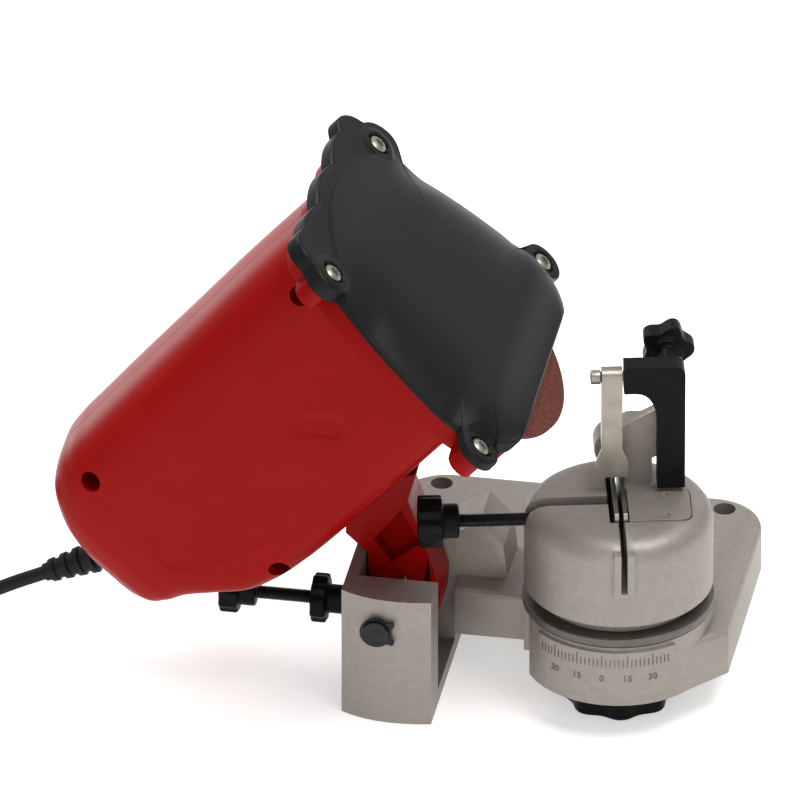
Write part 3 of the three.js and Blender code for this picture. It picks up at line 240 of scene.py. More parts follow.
# Goes smoothly from 0 at a start to 1 a run further on.
def ramp(at, start, run):
    return rise((at - start) / run)


# Rings square to a line: the cosine goes to the side vector, which is square to level, and the
# sine to the one square to both.
def tubeRings(line, radius, sides, level=(0.0, 0.0, 1.0)):
    forward = np.gradient(line, axis=0)
    forward /= np.linalg.norm(forward, axis=1, keepdims=True)
    side = np.cross(level, forward)
    side /= np.linalg.norm(side, axis=1, keepdims=True)
    up = np.cross(forward, side)
    angle = np.linspace(0, 2 * math.pi, sides, endpoint=False)
    return (line[:, None] + radius * np.cos(angle)[None, :, None] * side[:, None]
            + radius * np.sin(angle)[None, :, None] * up[:, None])


# Points on each rounded corner, and the most of a side that a corner may take
rounding = {"points": 5, "most": 0.48}


# A broken line whose corners are parabolas that start an edge's length away from each corner.
def rounded(corners, edge):
    corners = np.array(corners, float)
    line, share = [corners[:1]], np.linspace(0, 1, rounding["points"])[:, None]
    for before, corner, after in zip(corners[:-2], corners[1:-1], corners[2:]):
        ends = []
        for other in (before, after):
            length = np.linalg.norm(other - corner)
            ends.append(corner + (other - corner) * min(edge / length, rounding["most"]))
        line.append(ends[0] * (1 - share) ** 2 + corner * 2 * share * (1 - share) + ends[1] * share ** 2)
    return np.concatenate(line + [corners[-1:]])


# Rings about z through a profile of (radius, height, share): the radius is drawn in by hollow
# times the share where the cosine of lobes times the angle is lowest.
def turned(profile, sides, lobes=0, hollow=0.0):
    angle = np.linspace(0, 2 * math.pi, sides, endpoint=False)
    share = profile[:, 2:3] if profile.shape[1] > 2 else np.zeros((len(profile), 1))
    reach = profile[:, :1] * (1 - hollow * share * (0.5 - 0.5 * np.cos(lobes * angle)))
    height = np.repeat(profile[:, 1:2], sides, 1)
    return np.stack([reach * np.cos(angle), reach * np.sin(angle), height], axis=-1)


# Turns points from their z axis to a direction and moves them to a place.
def aimed(points, direction, place):
    z = np.array(direction, float) / np.linalg.norm(direction)
    x = np.cross([0.0, 1.0, 0.0] if abs(z[1]) < 0.9 else [0.0, 0.0, 1.0], z)
    x /= np.linalg.norm(x)
    return points @ np.stack([x, np.cross(z, x), z]) + np.array(place, float)


# A mesh of a turned grid, its bore joined where it has one, aimed along a direction in a group.
def turnedMesh(name, grid, place, direction, origin):
    rows, columns = grid.shape[:2]
    if bored(grid):
        points, faces = grid.reshape(-1, 3), gridFaces(rows, columns, 0, True, True)
    else:
        points, faces = skin(grid)
    return meshOf(name, place(aimed(points, direction, origin)), faces)


# Whether a turned grid starts and ends on the same radius off its axis, as a bore's wall does.
def bored(grid):
    first, last = np.hypot(*grid[0, 0, :2]), np.hypot(*grid[-1, 0, :2])
    return min(first, last) > leastBore and abs(first - last) < 1e-6


headPlace = {"tilt": 41.7, "origin": (-35.1, -90.0, 150.7)}
visePlace = {"turn": 13.0, "origin": (30.2, -90.0, 0.0)}


# From the head's own millimetres (x to the working edge, z along the spindle) to metres.
def fromHead(points):
    tilt = math.radians(headPlace["tilt"])
    turn = np.array([[math.cos(tilt), 0, math.sin(tilt)], [0, 1, 0], [-math.sin(tilt), 0, math.cos(tilt)]])
    return (points @ turn.T + headPlace["origin"]) * mm


# From the vise's own millimetres, z along its pivot, to metres.
def fromVise(points):
    turn = math.radians(visePlace["turn"])
    spin = np.array([[math.cos(turn), -math.sin(turn), 0], [math.sin(turn), math.cos(turn), 0], [0, 0, 1]])
    return (points @ spin.T + visePlace["origin"]) * mm


# From the model's own millimetres to metres.
def fromBase(points):
    return points * mm


# Cord: out of the boot, down to the floor, into a piled coil and round it to the plug
cord = {
    "radius": 3.0,
    "floor": -16.6,
    "run": [(-212.25, -90, 15.06), (-223.08, -90, 9.89), (-246, -91.5, -1.5), (-268, -93.6, -10.6),
            (-290, -93.4, -13.6), (-308, -93, -13.6), (-328.65, -93, -13.6)],
    "coilCentre": (-335.0, -52.0),
    "coilRadius": 41.0,
    "turnPitch": 7.0,
    "layers": 4,
    "layerTurns": 2,
    "layerRise": 6.7,
    "climbTurns": 0.5,
    "tailTurns": 0.5,
    "tailOut": 14.0,
    "plugHeight": 13.0,
    "sides": 14,
    "loopSteps": 48,
    "runSteps": 40,
    # share of the tail after which the lead sinks, and its straight end
    "sinkFrom": 0.4,
    "endStep": 4.0,
    "endSteps": 3,
    # the stretch of lead behind the boot, by its two ends
    "liftFrom": (-279.0, -90.0, 0.0),
    "liftTo": (-212.25, -90.0, 0.0),
}


# Winds in and out by a pitch a turn, layer upon layer, and climbs while it reverses; past its
# last turn it widens and sinks to the floor, where the plug lies.
def coilLine(turn):
    whole = cord["layers"] * cord["layerTurns"]
    layer = np.clip(np.floor(turn / cord["layerTurns"]), 0, cord["layers"] - 1)
    within = np.minimum(turn, whole) - layer * cord["layerTurns"]
    inward = np.where(layer % 2 == 0, within, cord["layerTurns"] - within)
    past = np.maximum(turn - whole, 0) / cord["tailTurns"]
    radius = cord["coilRadius"] - cord["turnPitch"] * inward + cord["tailOut"] * rise(past)
    changes = np.arange(1, cord["layers"]) * cord["layerTurns"] - cord["climbTurns"] / 2
    climbed = rise((turn[:, None] - changes) / cord["climbTurns"]).sum(axis=1)
    low = cord["floor"] + cord["radius"]
    top = low + cord["layerRise"] * (cord["layers"] - 1)
    lying = cord["floor"] + cord["plugHeight"] / 2
    height = low + cord["layerRise"] * climbed
    height = height + (lying - top) * ramp(past, cord["sinkFrom"], 1 - cord["sinkFrom"])
    angle = -math.pi / 2 - turn * 2 * math.pi
    return np.stack([cord["coilCentre"][0] + radius * np.cos(angle),
                     cord["coilCentre"][1] + radius * np.sin(angle), height], axis=1)


run = np.array(cord["run"], float)
reached = np.concatenate([[0], np.cumsum(np.linalg.norm(np.diff(run, axis=0), axis=1))])
steps = np.linspace(0, reached[-1], cord["runSteps"])
runLine = np.stack([eased(steps, reached, run[:, axis]) for axis in range(3)], axis=1)
allTurns = cord["layers"] * cord["layerTurns"] + cord["tailTurns"]
turns = np.linspace(0, allTurns, int(allTurns * cord["loopSteps"]) + 1)
ending = coilLine(turns)[-1] + np.arange(1, cord["endSteps"] + 1)[:, None] * [cord["endStep"], 0, 0]
cordLine = np.concatenate([runLine, coilLine(turns), ending]) * mm
cordMesh = meshOf("mainsLead", *skin(tubeRings(cordLine, cord["radius"] * mm, cord["sides"])))
mainsLead = addPiece("mainsLead", cordMesh, None, softPvc, ["cord_run", "cord_coil", "cord_tail"])
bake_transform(mainsLead)
print("cord laid")


# Rigid CAD nodes whose shape is right: a merged copy with its edges broken, as casting and moulding do
softened = {
    # piece: (node, body, slot, look, edge in mm)
    "castBase": ("base_casting", "base", "cast_metal", castAluminium, 0.9),
    "castVise": ("vise_head", "vise", "cast_metal", castAluminium, 0.6),
    "stopElbow": ("stop_elbow", "chain_stop", "black_plastic", knobNylon, 0.7),
    "swingArm": ("head_arm", "head", "red_plastic", mouldedAbs, 0.7),
    "frontFlange": ("motor_flange", "head", "red_plastic", mouldedAbs, 0.5),
    "bentPawl": ("chain_pawl", "pawl", "steel", platedSteel, 0.25),
    "leftRail": ("moving_jaw", "jaw", "steel", groundSteel, 0.25),
    "rightRail": ("fixed_jaw", "vise", "steel", groundSteel, 0.25),
    "inlayPlate": ("jaw_plate", "vise", "cast_metal", castAluminium, 0.3),
    "rearClip": ("pin_clip", "base", "dark_steel", blackenedSteel, 0.2),
    "viseStud": ("pivot_stud", "vise", "steel", platedSteel, 0.5),
    "studWasher": ("lock_washer", "vise", "steel", platedSteel, 0.3),
    "rockerKey": ("power_switch", "switch", "black_plastic", knobNylon, 0.8),
}


# In degrees: faces flatter than flat are merged, and edges over sharp are broken, in so many steps
breaking = {"flat": 0.5, "sharp": 30, "steps": 2}


# A copy of a CAD node, its doubles merged and its flats joined, with a bevel on its sharp edges.
def brokenEdges(name, node, body, slot, look, edge):
    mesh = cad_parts[node].data.copy()
    tidy = bmesh.new()
    tidy.from_mesh(mesh)
    bmesh.ops.remove_doubles(tidy, verts=tidy.verts, dist=mergeWithin)
    flat = math.radians(breaking["flat"])
    bmesh.ops.dissolve_limit(tidy, angle_limit=flat, verts=tidy.verts, edges=tidy.edges)
    tidy.to_mesh(mesh)
    tidy.free()
    piece = addPiece(name, mesh, body, look, [node])
    bevel = piece.modifiers.new("brokenEdge", "BEVEL")
    bevel.width, bevel.segments = edge * mm, breaking["steps"]
    bevel.limit_method, bevel.angle_limit = "ANGLE", math.radians(breaking["sharp"])
    bevel.harden_normals = True
    return piece


for name, row in softened.items():
    brokenEdges(name, *row)
print("rigid pieces softened")

# CAD nodes that no piece replaces: the motor, the wheel's flanges and the plug's pins
nodeLooks = {
    "motor_stator": groundSteel, "motor_rotor": motorCopper, "front_bearing": groundSteel,
    "rear_bearing": groundSteel, "inner_flange": platedSteel, "outer_flange": platedSteel,
    "spindle_nut": platedSteel, "plug_pin_left": platedBrass, "plug_pin_right": platedBrass,
}
for node, look in nodeLooks.items():
    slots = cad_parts[node].data.materials
    slots.clear()
    slots.append(look)
print("finishes given")


# Plug: an oval body with grip ridges that narrows to a round collar, and the ribbed boot
plug = {"ridges": 5, "ridgeDepth": 0.45, "ridgeFrom": 0.42, "ridgeTo": 0.78, "edge": 2.2, "faceDraw": 0.22,
        "collar": 13.0, "collarRadius": 5.5, "endRadius": 3.75, "neckBefore": 8.0, "neckRun": 10.0,
        "power": 0.62, "rows": 90, "around": 64}


# Rings along the lead: a squared oval whose half width and height ease into the collar's radius,
# ridged by a cosine over a stretch of its length and rounded at its face.
def plugPiece():
    low, high = (np.array(corner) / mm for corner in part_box("plug_body"))
    middle, half = (low + high) / 2, (high - low) / 2
    length = high[0] - low[0]
    along = np.linspace(0, 1, plug["rows"])[:, None] * length
    angle = np.linspace(0, 2 * math.pi, plug["around"], endpoint=False)
    neck = ramp(along, length - plug["collar"] - plug["neckBefore"], plug["neckRun"])
    wide = half[1] + (plug["collarRadius"] - half[1]) * neck
    tall = half[2] + (plug["collarRadius"] - half[2]) * neck
    thin = plug["endRadius"] / plug["collarRadius"]
    narrow = 1 - (1 - thin) * ramp(along, length - plug["collar"], plug["collar"])
    over = 1 - np.clip(1 - along / plug["edge"], 0, 1) ** 2 * plug["faceDraw"]
    share = (along / length - plug["ridgeFrom"]) / (plug["ridgeTo"] - plug["ridgeFrom"])
    ridge = np.where((share > 0) & (share < 1), 0.5 - 0.5 * np.cos(2 * math.pi * plug["ridges"] * share), 0)
    power = plug["power"] + (1 - plug["power"]) * neck
    aside, above = (np.sign(wave) * np.abs(wave) ** power for wave in (np.cos(angle), np.sin(angle)))
    y = (wide - plug["ridgeDepth"] * ridge) * narrow * over * aside
    z = tall * narrow * over * above
    grid = np.stack([high[0] - along + 0 * angle, middle[1] + y, middle[2] + z], axis=-1)
    points, faces = skin(grid)
    mesh = meshOf("mouldedPlug", fromBase(points), faces)
    return addPiece("mouldedPlug", mesh, "base", softPvc, ["plug_body"], sharp=40)


boot = {"tip": (-211.94, -90.0, 15.21), "aim": (-0.9025, 0.0, -0.4306), "length": 32.0, "front": 7.6,
        "rear": 4.6, "ribs": 5, "ribFrom": 2.0, "waist": 0.82, "ribSteep": 1.4, "ribShift": 0.3,
        "rows": 150, "around": 48}


# The radius tapers with the length and is drawn to its waist where a cosine of the ribs is low.
def bootPiece():
    along = np.linspace(0, boot["length"], boot["rows"])
    share = np.clip((along - boot["ribFrom"]) / (boot["length"] - boot["ribFrom"]), 0, 1)
    taper = boot["front"] + (boot["rear"] - boot["front"]) * share
    rib = share * boot["ribs"] - boot["ribShift"]
    wave = rise(0.5 + boot["ribSteep"] * np.cos(2 * math.pi * rib))
    radius = taper * (boot["waist"] + (1 - boot["waist"]) * wave)
    profile = np.stack([radius, along], axis=-1)
    start = np.array(boot["tip"]) - boot["length"] * np.array(boot["aim"])
    mesh = turnedMesh("ribbedBoot", turned(profile, boot["around"]), fromBase, boot["aim"], start)
    return addPiece("ribbedBoot", mesh, "head", softPvc, ["cord_boot"], sharp=45)


plugPieces = [plugPiece(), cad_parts["plug_pin_left"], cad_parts["plug_pin_right"]]
bootPiece()
print("plug and boot made")


# Housing: two moulded shells, each a wall between two lofted skins of rounded-square section
housing = {
    "top": -83.0, "bottom": 24.5, "half": 36.0, "front": -7.0, "length": 183.0,
    "wall": 3.2, "split": 0.175, "corner": 0.36, "topCorner": 0.52, "along": 240, "around": 160,
    # shares: of the length, of the half height above and below, and of the half width
    "sections": [
        (0, 1, 1, 1), (0.2, 1, 1, 1), (0.42, 0.98, 0.99, 1), (0.6, 0.965, 0.97, 0.985),
        (0.69, 0.955, 0.93, 0.97), (0.76, 0.945, 0.85, 0.955), (0.82, 0.935, 0.7, 0.93),
        (0.88, 0.89, 0.56, 0.88), (0.93, 0.74, 0.49, 0.81), (0.965, 0.52, 0.41, 0.7),
        (0.988, 0.28, 0.27, 0.52), (1, 0.08, 0.12, 0.28),
    ],
    "wells": [(0.15, 0.07), (0.155, 0.8), (0.915, 0.65)],
    "wellRadius": 4.2, "wellFloor": 14.4, "wellSnap": 0.34, "wellSpread": 7.0, "wellWall": 0.7,
    # how much tighter the grid is at a well, and the fine places it is worked out from
    "tighter": 4.0, "fineAlong": 4001, "fineAround": 6001,
    # least half width and height, and the shares past which the end, the flank and the flat lie
    "leastHalf": 0.5, "endShare": 0.99, "flankShare": 0.6, "flatShare": 0.8,
    # sunk outlines: two ends of a middle line in x and z, half width, depth and edge
    "contours": [((-24.8, -64.1), (-16.7, -55.2), 4.6, 0.7, 0.8),
                 ((-22.5, -146), (-2.6, -92), 13.0, 0.45, 1.4)],
}


# Places along a length, evenly spread but for a bell of tighter spacing at each of some places.
def spaced(count, length, places):
    fine = np.linspace(0, length, housing["fineAlong"])
    near = sum(np.exp(-((fine - place) / housing["wellSpread"]) ** 2) for place in places)
    filled = np.concatenate([[0], np.cumsum(1 + housing["tighter"] * near[1:])])
    return np.interp(np.linspace(0, filled[-1], count), filled, fine)


# Angles over half a turn at which the rounded square is cut into even stretches, tighter at the
# wells.
def sectionAngles(count):
    tall = (housing["bottom"] - housing["top"]) / 2
    fine = np.linspace(0, math.pi, housing["fineAround"])
    x, y = roundedSquare(fine)
    along = np.concatenate([[0], np.cumsum(np.hypot(tall * np.diff(x), housing["half"] * np.diff(y)))])
    off = y < housing["flankShare"]
    wells = [along[np.argmin(np.abs(x - (2 * across - 1)) + off)] for across, _ in housing["wells"][::2]]
    return np.interp(spaced(count, along[-1], wells), along, fine)


# Cosine and sine, each raised to a power below one, which is higher over the rounder top.
def roundedSquare(angle):
    power = np.where(np.cos(angle) < 0, housing["topCorner"], housing["corner"])
    return np.sign(np.cos(angle)) * np.abs(np.cos(angle)) ** power, np.abs(np.sin(angle)) ** power


# x and z of a screw's well, from its shares of the housing's height and length.
def wellPlace(across, along):
    return (housing["top"] + (housing["bottom"] - housing["top"]) * across,
            housing["front"] - housing["length"] * along)


# x is the powered cosine times the half height, y the powered sine times the half width and z
# runs back along the housing; contours and wells sink towards the parting plane, and the points
# nearest to a well's rim are moved on to it.
def shellSkin(side, inset):
    table = np.array(housing["sections"], float)
    wells = [housing["length"] * along for _, along in housing["wells"]]
    share = spaced(housing["along"], housing["length"], wells + [housing["length"]]) / housing["length"]
    up, down, wide = (eased(share, table[:, 0], table[:, k]) for k in (1, 2, 3))
    middle, tall = (housing["top"] + housing["bottom"]) / 2, (housing["bottom"] - housing["top"]) / 2
    top, bottom = middle - tall * up + inset, middle + tall * down - inset
    half = np.maximum(housing["half"] * wide - inset, housing["leastHalf"])
    height = np.maximum((bottom - top) / 2, housing["leastHalf"])
    across, aside = roundedSquare(sectionAngles(housing["around"]))
    x = (top + bottom)[:, None] / 2 + height[:, None] * across
    y = half[:, None] * aside
    lengthwise = housing["front"] - housing["length"] * share + inset * (share > housing["endShare"])
    z = np.repeat(lengthwise[:, None], len(across), 1)
    if side < 0 and inset == 0:
        for start, end, wideHalf, depth, edge in housing["contours"]:
            run = np.subtract(end, start)
            t = np.clip(((x - start[0]) * run[0] + (z - start[1]) * run[1]) / (run @ run), 0, 1)
            far = np.hypot(x - start[0] - t * run[0], z - start[1] - t * run[1])
            y = y - depth * (1 - ramp(far, wideHalf, edge)) * (y > half[:, None] * housing["flatShare"])
    if side < 0:
        for well in housing["wells"]:
            wellX, wellZ = wellPlace(*well)
            radius = housing["wellRadius"] + inset * housing["wellWall"]
            far = np.hypot(x - wellX, z - wellZ)
            near = np.abs(far - radius) < housing["wellSnap"]
            x, z = (np.where(near, middleOf + (value - middleOf) * radius / np.maximum(far, onAxis), value)
                    for value, middleOf in ((x, wellX), (z, wellZ)))
            y = np.where((far < radius) & ~near, np.minimum(y, housing["wellFloor"] - inset), y)
    return np.stack([x, side * np.maximum(y, housing["split"]), z], axis=-1)


# The outer skin and the inner one, joined by a strip of quads round their shared rim.
def shellPiece(name, side, node):
    outer, inner = shellSkin(side, 0.0), shellSkin(side, housing["wall"])
    rows, columns = outer.shape[:2]
    inside = rows * columns
    points = np.concatenate([outer.reshape(-1, 3), inner.reshape(-1, 3)])
    index = np.arange(inside).reshape(rows, columns)
    rim = np.concatenate([index[:, 0], index[-1, 1:], index[-2::-1, -1], index[0, -2::-1]])
    wall = np.stack([rim[:-1], rim[1:], rim[1:] + inside, rim[:-1] + inside], axis=-1)
    faces = gridFaces(rows, columns, 0, False) + gridFaces(rows, columns, inside, False) + wall.tolist()
    mesh = meshOf(name, fromHead(points), faces)
    return addPiece(name, mesh, "head", mouldedAbs, [node], sharp=50)


shellPiece("housingFrontHalf", -1, "front_shell")
shellPiece("housingRearHalf", 1, "rear_shell")
print("housing made")


# Guard: a low dome over the disc, with a terrace at the rear, scallops and four screw lugs
guard = {
    "front": 36.6, "rear": -88.0, "wide": 74.0, "narrow": 50.0, "back": 3.0, "top": 14.5, "scallop": 3.5,
    # each lug: its screw's place and its top, then the middle and radius of its outline
    "lugs": [(21, 75.5, 7.5, 21, 75.5, 9.6), (21, -75.5, 7.5, 21, -75.5, 9.6),
             (-70, 53, 11.0, -68.5, 56.5, 11.5), (-70, -53, 11.0, -70, -53, 9.8)],
    "fillets": [(-79.5, 49.0, 11.0), (-80.0, -46.0, 10.5)], "lobeOut": 1.5, "scallops": 3,
    # the plan's shares of the rear, the front, the width and a scallop
    "notch": 0.985, "corner": 0.965, "hip": 0.78, "flankRear": 0.45, "flankWide": 0.93,
    "shoulder": 0.85, "faceWide": 0.72, "lobe": 0.45,
    "middle": (-20.0, 0.0), "blend": 2.6, "wall": 2.6, "edge": 1.5, "rearEdge": 0.5,
    "low": 4.6, "terrace": 10.2, "frontRim": 7.2, "step": 0.3, "stepRun": 2.2,
    "domeRear": -84.0, "domeBow": 22.0, "domeWide": 57.0, "domeRun": 30.0, "domePower": 0.8,
    "crownPower": 4.2, "frontPower": 9.0, "frontDrop": 0.5, "sinkDepth": 2.0,
    # where each change starts and how far it runs: along x, or out from a screw
    "terraceRamp": (-66.0, 26.0), "rearEdgeRamp": (-66.0, 20.0), "frontRimRamp": (4.0, 12.0),
    "powerRamp": (0.0, 34.0), "dropRamp": (12.0, 25.0), "lugRamp": (6.6, 3.4), "sinkRamp": (5.0, 0.5),
    # points a stroke and a ring, rings from the middle out and over the edge, and which recur inside
    "strokeSteps": 40, "around": 720, "innerRows": 22, "outerRows": 44, "outerBand": 22.0,
    "firstShare": 0.01, "edgeSteps": 6, "outerSkip": 6, "innerSkip": 3,
    # least reach and least height of the inside, above the back
    "leastUnder": 0.4, "leastInside": 0.5,
}


# The guard's plan: straight working edge, bowed sides and scallops, as lines and parabolas.
def guardOutline():
    front, rear, wide, narrow, scallop = (guard[k] for k in ("front", "rear", "wide", "narrow", "scallop"))
    pitch = 2 * narrow / guard["scallops"]
    face, shoulder = wide * guard["faceWide"], front * guard["shoulder"]
    flank, hip = (rear * guard["flankRear"], wide * guard["flankWide"]), rear * guard["hip"]
    lobe, notch = rear - scallop - guard["lobeOut"], rear * guard["notch"]
    strokes = [((front, face),), ((shoulder, wide), (0, wide)), (flank, (hip, narrow + scallop)),
               ((rear * guard["corner"], narrow),)]
    strokes += [((lobe, narrow - (i + guard["lobe"]) * pitch), (notch, narrow - (i + 1) * pitch))
                for i in range(guard["scallops"])]
    strokes += [((hip, -narrow - scallop),), ((flank[0], -flank[1]), (0, -wide)),
                ((shoulder, -wide), (front, -face))]
    start, line = np.array([front, -face]), []
    t = np.linspace(0, 1, guard["strokeSteps"], endpoint=False)[:, None]
    for stroke in strokes:
        end = np.array(stroke[-1], float)
        middle = np.array(stroke[0], float) if len(stroke) == 2 else (start + end) / 2
        line.append(start * (1 - t) ** 2 + middle * 2 * t * (1 - t) + end * t * t)
        start = end
    return np.concatenate(line)


# How far the outline lies from the guard's middle at each angle, its lugs blended in.
def guardReach(angle):
    line = guardOutline() - guard["middle"]
    bearing, far = np.arctan2(line[:, 1], line[:, 0]), np.hypot(line[:, 0], line[:, 1])
    order = np.argsort(bearing)
    reach = np.interp(angle, bearing[order], far[order], period=2 * math.pi)
    for x, y, radius in [row[3:] for row in guard["lugs"]] + guard["fillets"]:
        lug = np.array([x, y]) - guard["middle"]
        ahead = lug[0] * np.cos(angle) + lug[1] * np.sin(angle)
        inside = radius ** 2 - (lug @ lug - ahead ** 2)
        lugReach = np.where((inside > 0) & (ahead > 0), ahead + np.sqrt(np.maximum(inside, 0)), 0)
        gapTo = np.clip(0.5 + (lugReach - reach) / (2 * guard["blend"]), 0, 1)
        reach = reach * (1 - gapTo) + lugReach * gapTo + guard["blend"] * gapTo * (1 - gapTo)
    return reach


# A dome that falls by a high power of the width's share, on a rim that is lowest at the sides; at
# the rear it starts on a bowed edge, and each lug is level with a sunk seat for its screw.
def guardHeight(x, y):
    line = guardOutline()
    upper = line[line[:, 1] > 0]
    order = np.argsort(upper[:, 0])
    wide = np.interp(x, upper[order, 0], upper[order, 1])
    rim = guard["low"] + (guard["terrace"] - guard["low"]) * (1 - ramp(x, *guard["terraceRamp"]))
    rim = rim + (guard["frontRim"] - guard["low"]) * ramp(x, *guard["frontRimRamp"])
    share = np.clip(np.abs(y) / np.maximum(wide, 1), 0, 1)
    edge = guard["domeRear"] + guard["domeBow"] * (y / guard["domeWide"]) ** 2
    started = (guard["step"] * ramp(x, edge, guard["stepRun"])
               + (1 - guard["step"]) * ramp(x, edge, guard["domeRun"]) ** guard["domePower"])
    front = 1 - guard["frontDrop"] * ramp(x, *guard["dropRamp"])
    power = guard["crownPower"] + guard["frontPower"] * ramp(x, *guard["powerRamp"])
    height = rim + (guard["top"] - rim) * (1 - share ** power) * started * front
    for lugX, lugY, top in [row[:3] for row in guard["lugs"]]:
        far = np.hypot(x - lugX, y - lugY)
        level = 1 - ramp(far, *guard["lugRamp"])
        height = height * (1 - level) + top * level
        height = height - guard["sinkDepth"] * (1 - ramp(far, *guard["sinkRamp"]))
    return height


# x and y of the places a distance out from the guard's middle along each ray.
def fromMiddle(far, ray):
    return (guard["middle"][k] + far * ray[:, k] for k in (0, 1))


# Rings from the middle out to the outline, over a rounded edge, down the skirt and back inside.
def guardPiece():
    angle = np.linspace(0, 2 * math.pi, guard["around"], endpoint=False)
    reach = guardReach(angle)
    ray = np.stack([np.cos(angle), np.sin(angle)], axis=-1)
    outline, _ = fromMiddle(reach, ray)
    edge = guard["edge"] + guard["rearEdge"] * (1 - ramp(outline, *guard["rearEdgeRamp"]))
    band, wall = guard["outerBand"], guard["wall"]
    share = np.linspace(guard["firstShare"], 1, guard["innerRows"], endpoint=False)[:, None]
    inner = share * (reach - band)
    outer = reach - edge - np.linspace(1, 0, guard["outerRows"])[:, None] * (band - edge)
    top = np.concatenate([inner, outer])
    height = guardHeight(*fromMiddle(top, ray))
    over = np.linspace(0, math.pi / 2, guard["edgeSteps"])[1:, None]
    rimFar = reach - edge + edge * np.sin(over)
    rimHeight = height[-1] - edge * (1 - np.cos(over))
    low = np.full((1, len(angle)), guard["back"])
    under = np.concatenate([outer[::-guard["outerSkip"]], inner[::-guard["innerSkip"]]]) - wall
    under = np.maximum(under, guard["leastUnder"])
    inside = np.minimum(guardHeight(*fromMiddle(under, ray)), guard["top"]) - wall
    inside = np.maximum(inside, guard["back"] + guard["leastInside"])
    far = np.concatenate([top, rimFar, reach[None], (reach - wall)[None], under])
    height = np.concatenate([height, rimHeight, low, low, inside])
    points, faces = skin(np.stack([*fromMiddle(far, ray), height], axis=-1))
    return addPiece("discGuard", meshOf("discGuard", fromHead(points), faces),
                    "head", guardNylon, ["disc_guard"], sharp=42)


guardPiece()
print("guard made")


# Screws: a domed head with a six-lobed recess, on a plain shank
screw = {
    "guardHead": 4.0, "shellHead": 3.6, "height": 2.6, "crown": 0.5, "crownPower": 2.4, "shank": 2.0,
    # rings of the head, as shares of its radius, and points round it
    "rings": (0.05, 0.98, 22), "around": 60,
    # the recess: its radius on a guard screw, depth, edge, lobes and how far they wave
    "recess": 1.9, "depth": 1.5, "edge": 0.3, "lobes": 6, "wave": 0.17,
    # how far a head sinks in its lug, where the guard's screws end, and the shell's seat and end
    "lugSunk": 1.65, "guardEnd": -6.3, "shellSeat": -14.75, "shellEnd": -27.3,
}


# The head's height falls with a power of the radius, and its recess's radius waves six times.
def screwPiece(name, radius, look, end, place, direction, node):
    angle = np.linspace(0, 2 * math.pi, screw["around"], endpoint=False)
    far = np.concatenate([np.linspace(*screw["rings"]), [1.0, 1.0]])[:, None] * radius
    height = screw["height"] * (1 - screw["crown"] * (far / radius) ** screw["crownPower"]) + 0 * angle
    recess = screw["recess"] * radius / screw["guardHead"]
    edge = recess * (1 + screw["wave"] * np.cos(screw["lobes"] * angle))
    height = height - screw["depth"] * (1 - ramp(far, edge, screw["edge"]))
    height[-1] = 0
    head = np.stack([far * np.cos(angle), far * np.sin(angle), height], axis=-1)
    ends = np.array([[0.0], [end]])
    shank = np.broadcast_arrays(screw["shank"] * np.cos(angle), screw["shank"] * np.sin(angle), ends)
    points, faces = skin(np.concatenate([head, np.stack(shank, axis=-1)]))
    mesh = meshOf(name, fromHead(aimed(points, direction, place)), faces)
    return addPiece(name, mesh, "head", look, [node], sharp=40)


for k, (x, y, top) in enumerate(row[:3] for row in guard["lugs"]):
    seat = top - screw["lugSunk"]
    screwPiece(f"lugScrew{k + 1}", screw["guardHead"], platedSteel, screw["guardEnd"] - seat,
               (x, y, seat), (0, 0, 1), f"guard_screw_{k + 1}")
for k, well in enumerate(housing["wells"]):
    x, z = wellPlace(*well)
    screwPiece(f"shellScrew{k + 1}", screw["shellHead"], blackenedSteel, screw["shellEnd"],
               (x, screw["shellSeat"], z), (0, -1, 0), f"shell_screw_{k + 1}")
print("screws made")


# Knobs: a lobed grip with rounded edges, and behind it a hub or stem
knobs = {
    # name: (node, body, mover, direction, place of the grip's face, grip radius and height,
    #        stem as radius and height, lobes, how far they are hollowed, bore)
    "lockKnob": ("stop_lock_knob", "stop_lock", fromBase, (1, 0, 0), (-98.65, -90, 15.3), 10.4, 6.5,
                 [(6.1, 6.5), (6.1, 18)], 10, 0.09, 3.35),
    "endKnob": ("stop_end_knob", "stop_end", fromBase, (1, 0, 0), (-137.35, -90, 15.3), 9.6, 8,
                [(6.1, 8), (6.1, 15)], 10, 0.09, 0),
    "clampKnob": ("clamp_knob", "clamp_handle", fromVise, (1, 0, 0), (-83.35, 0, 68), 11, 10,
                  [(7.3, 10), (7.3, 17)], 10, 0.09, 0),
    "angleKnob": ("angle_lock_knob", "angle_lock", fromVise, (0, 0, -1), (0, 0, -2.7), 24, 14.5,
                  [], 8, 0.1, 5.35),
    "starKnob": ("star_knob", "star", fromVise, (0, -1, 0), (21.8, 40.6, 128.2), 11.5, 9,
                 [(6.7, 9), (6.7, 11.5), (4, 11.5), (4, 21), (2.5, 21), (2.5, 31.2)], 5, 0.24, 0),
}
grip = {"edge": 1.3, "around": 160}
# The face's dish: its depth, the shares of the radius of its floor and rim, and the rim's lobes
dish = {"depth": 0.5, "floor": 0.42, "rim": 0.5, "lobes": 0.4}


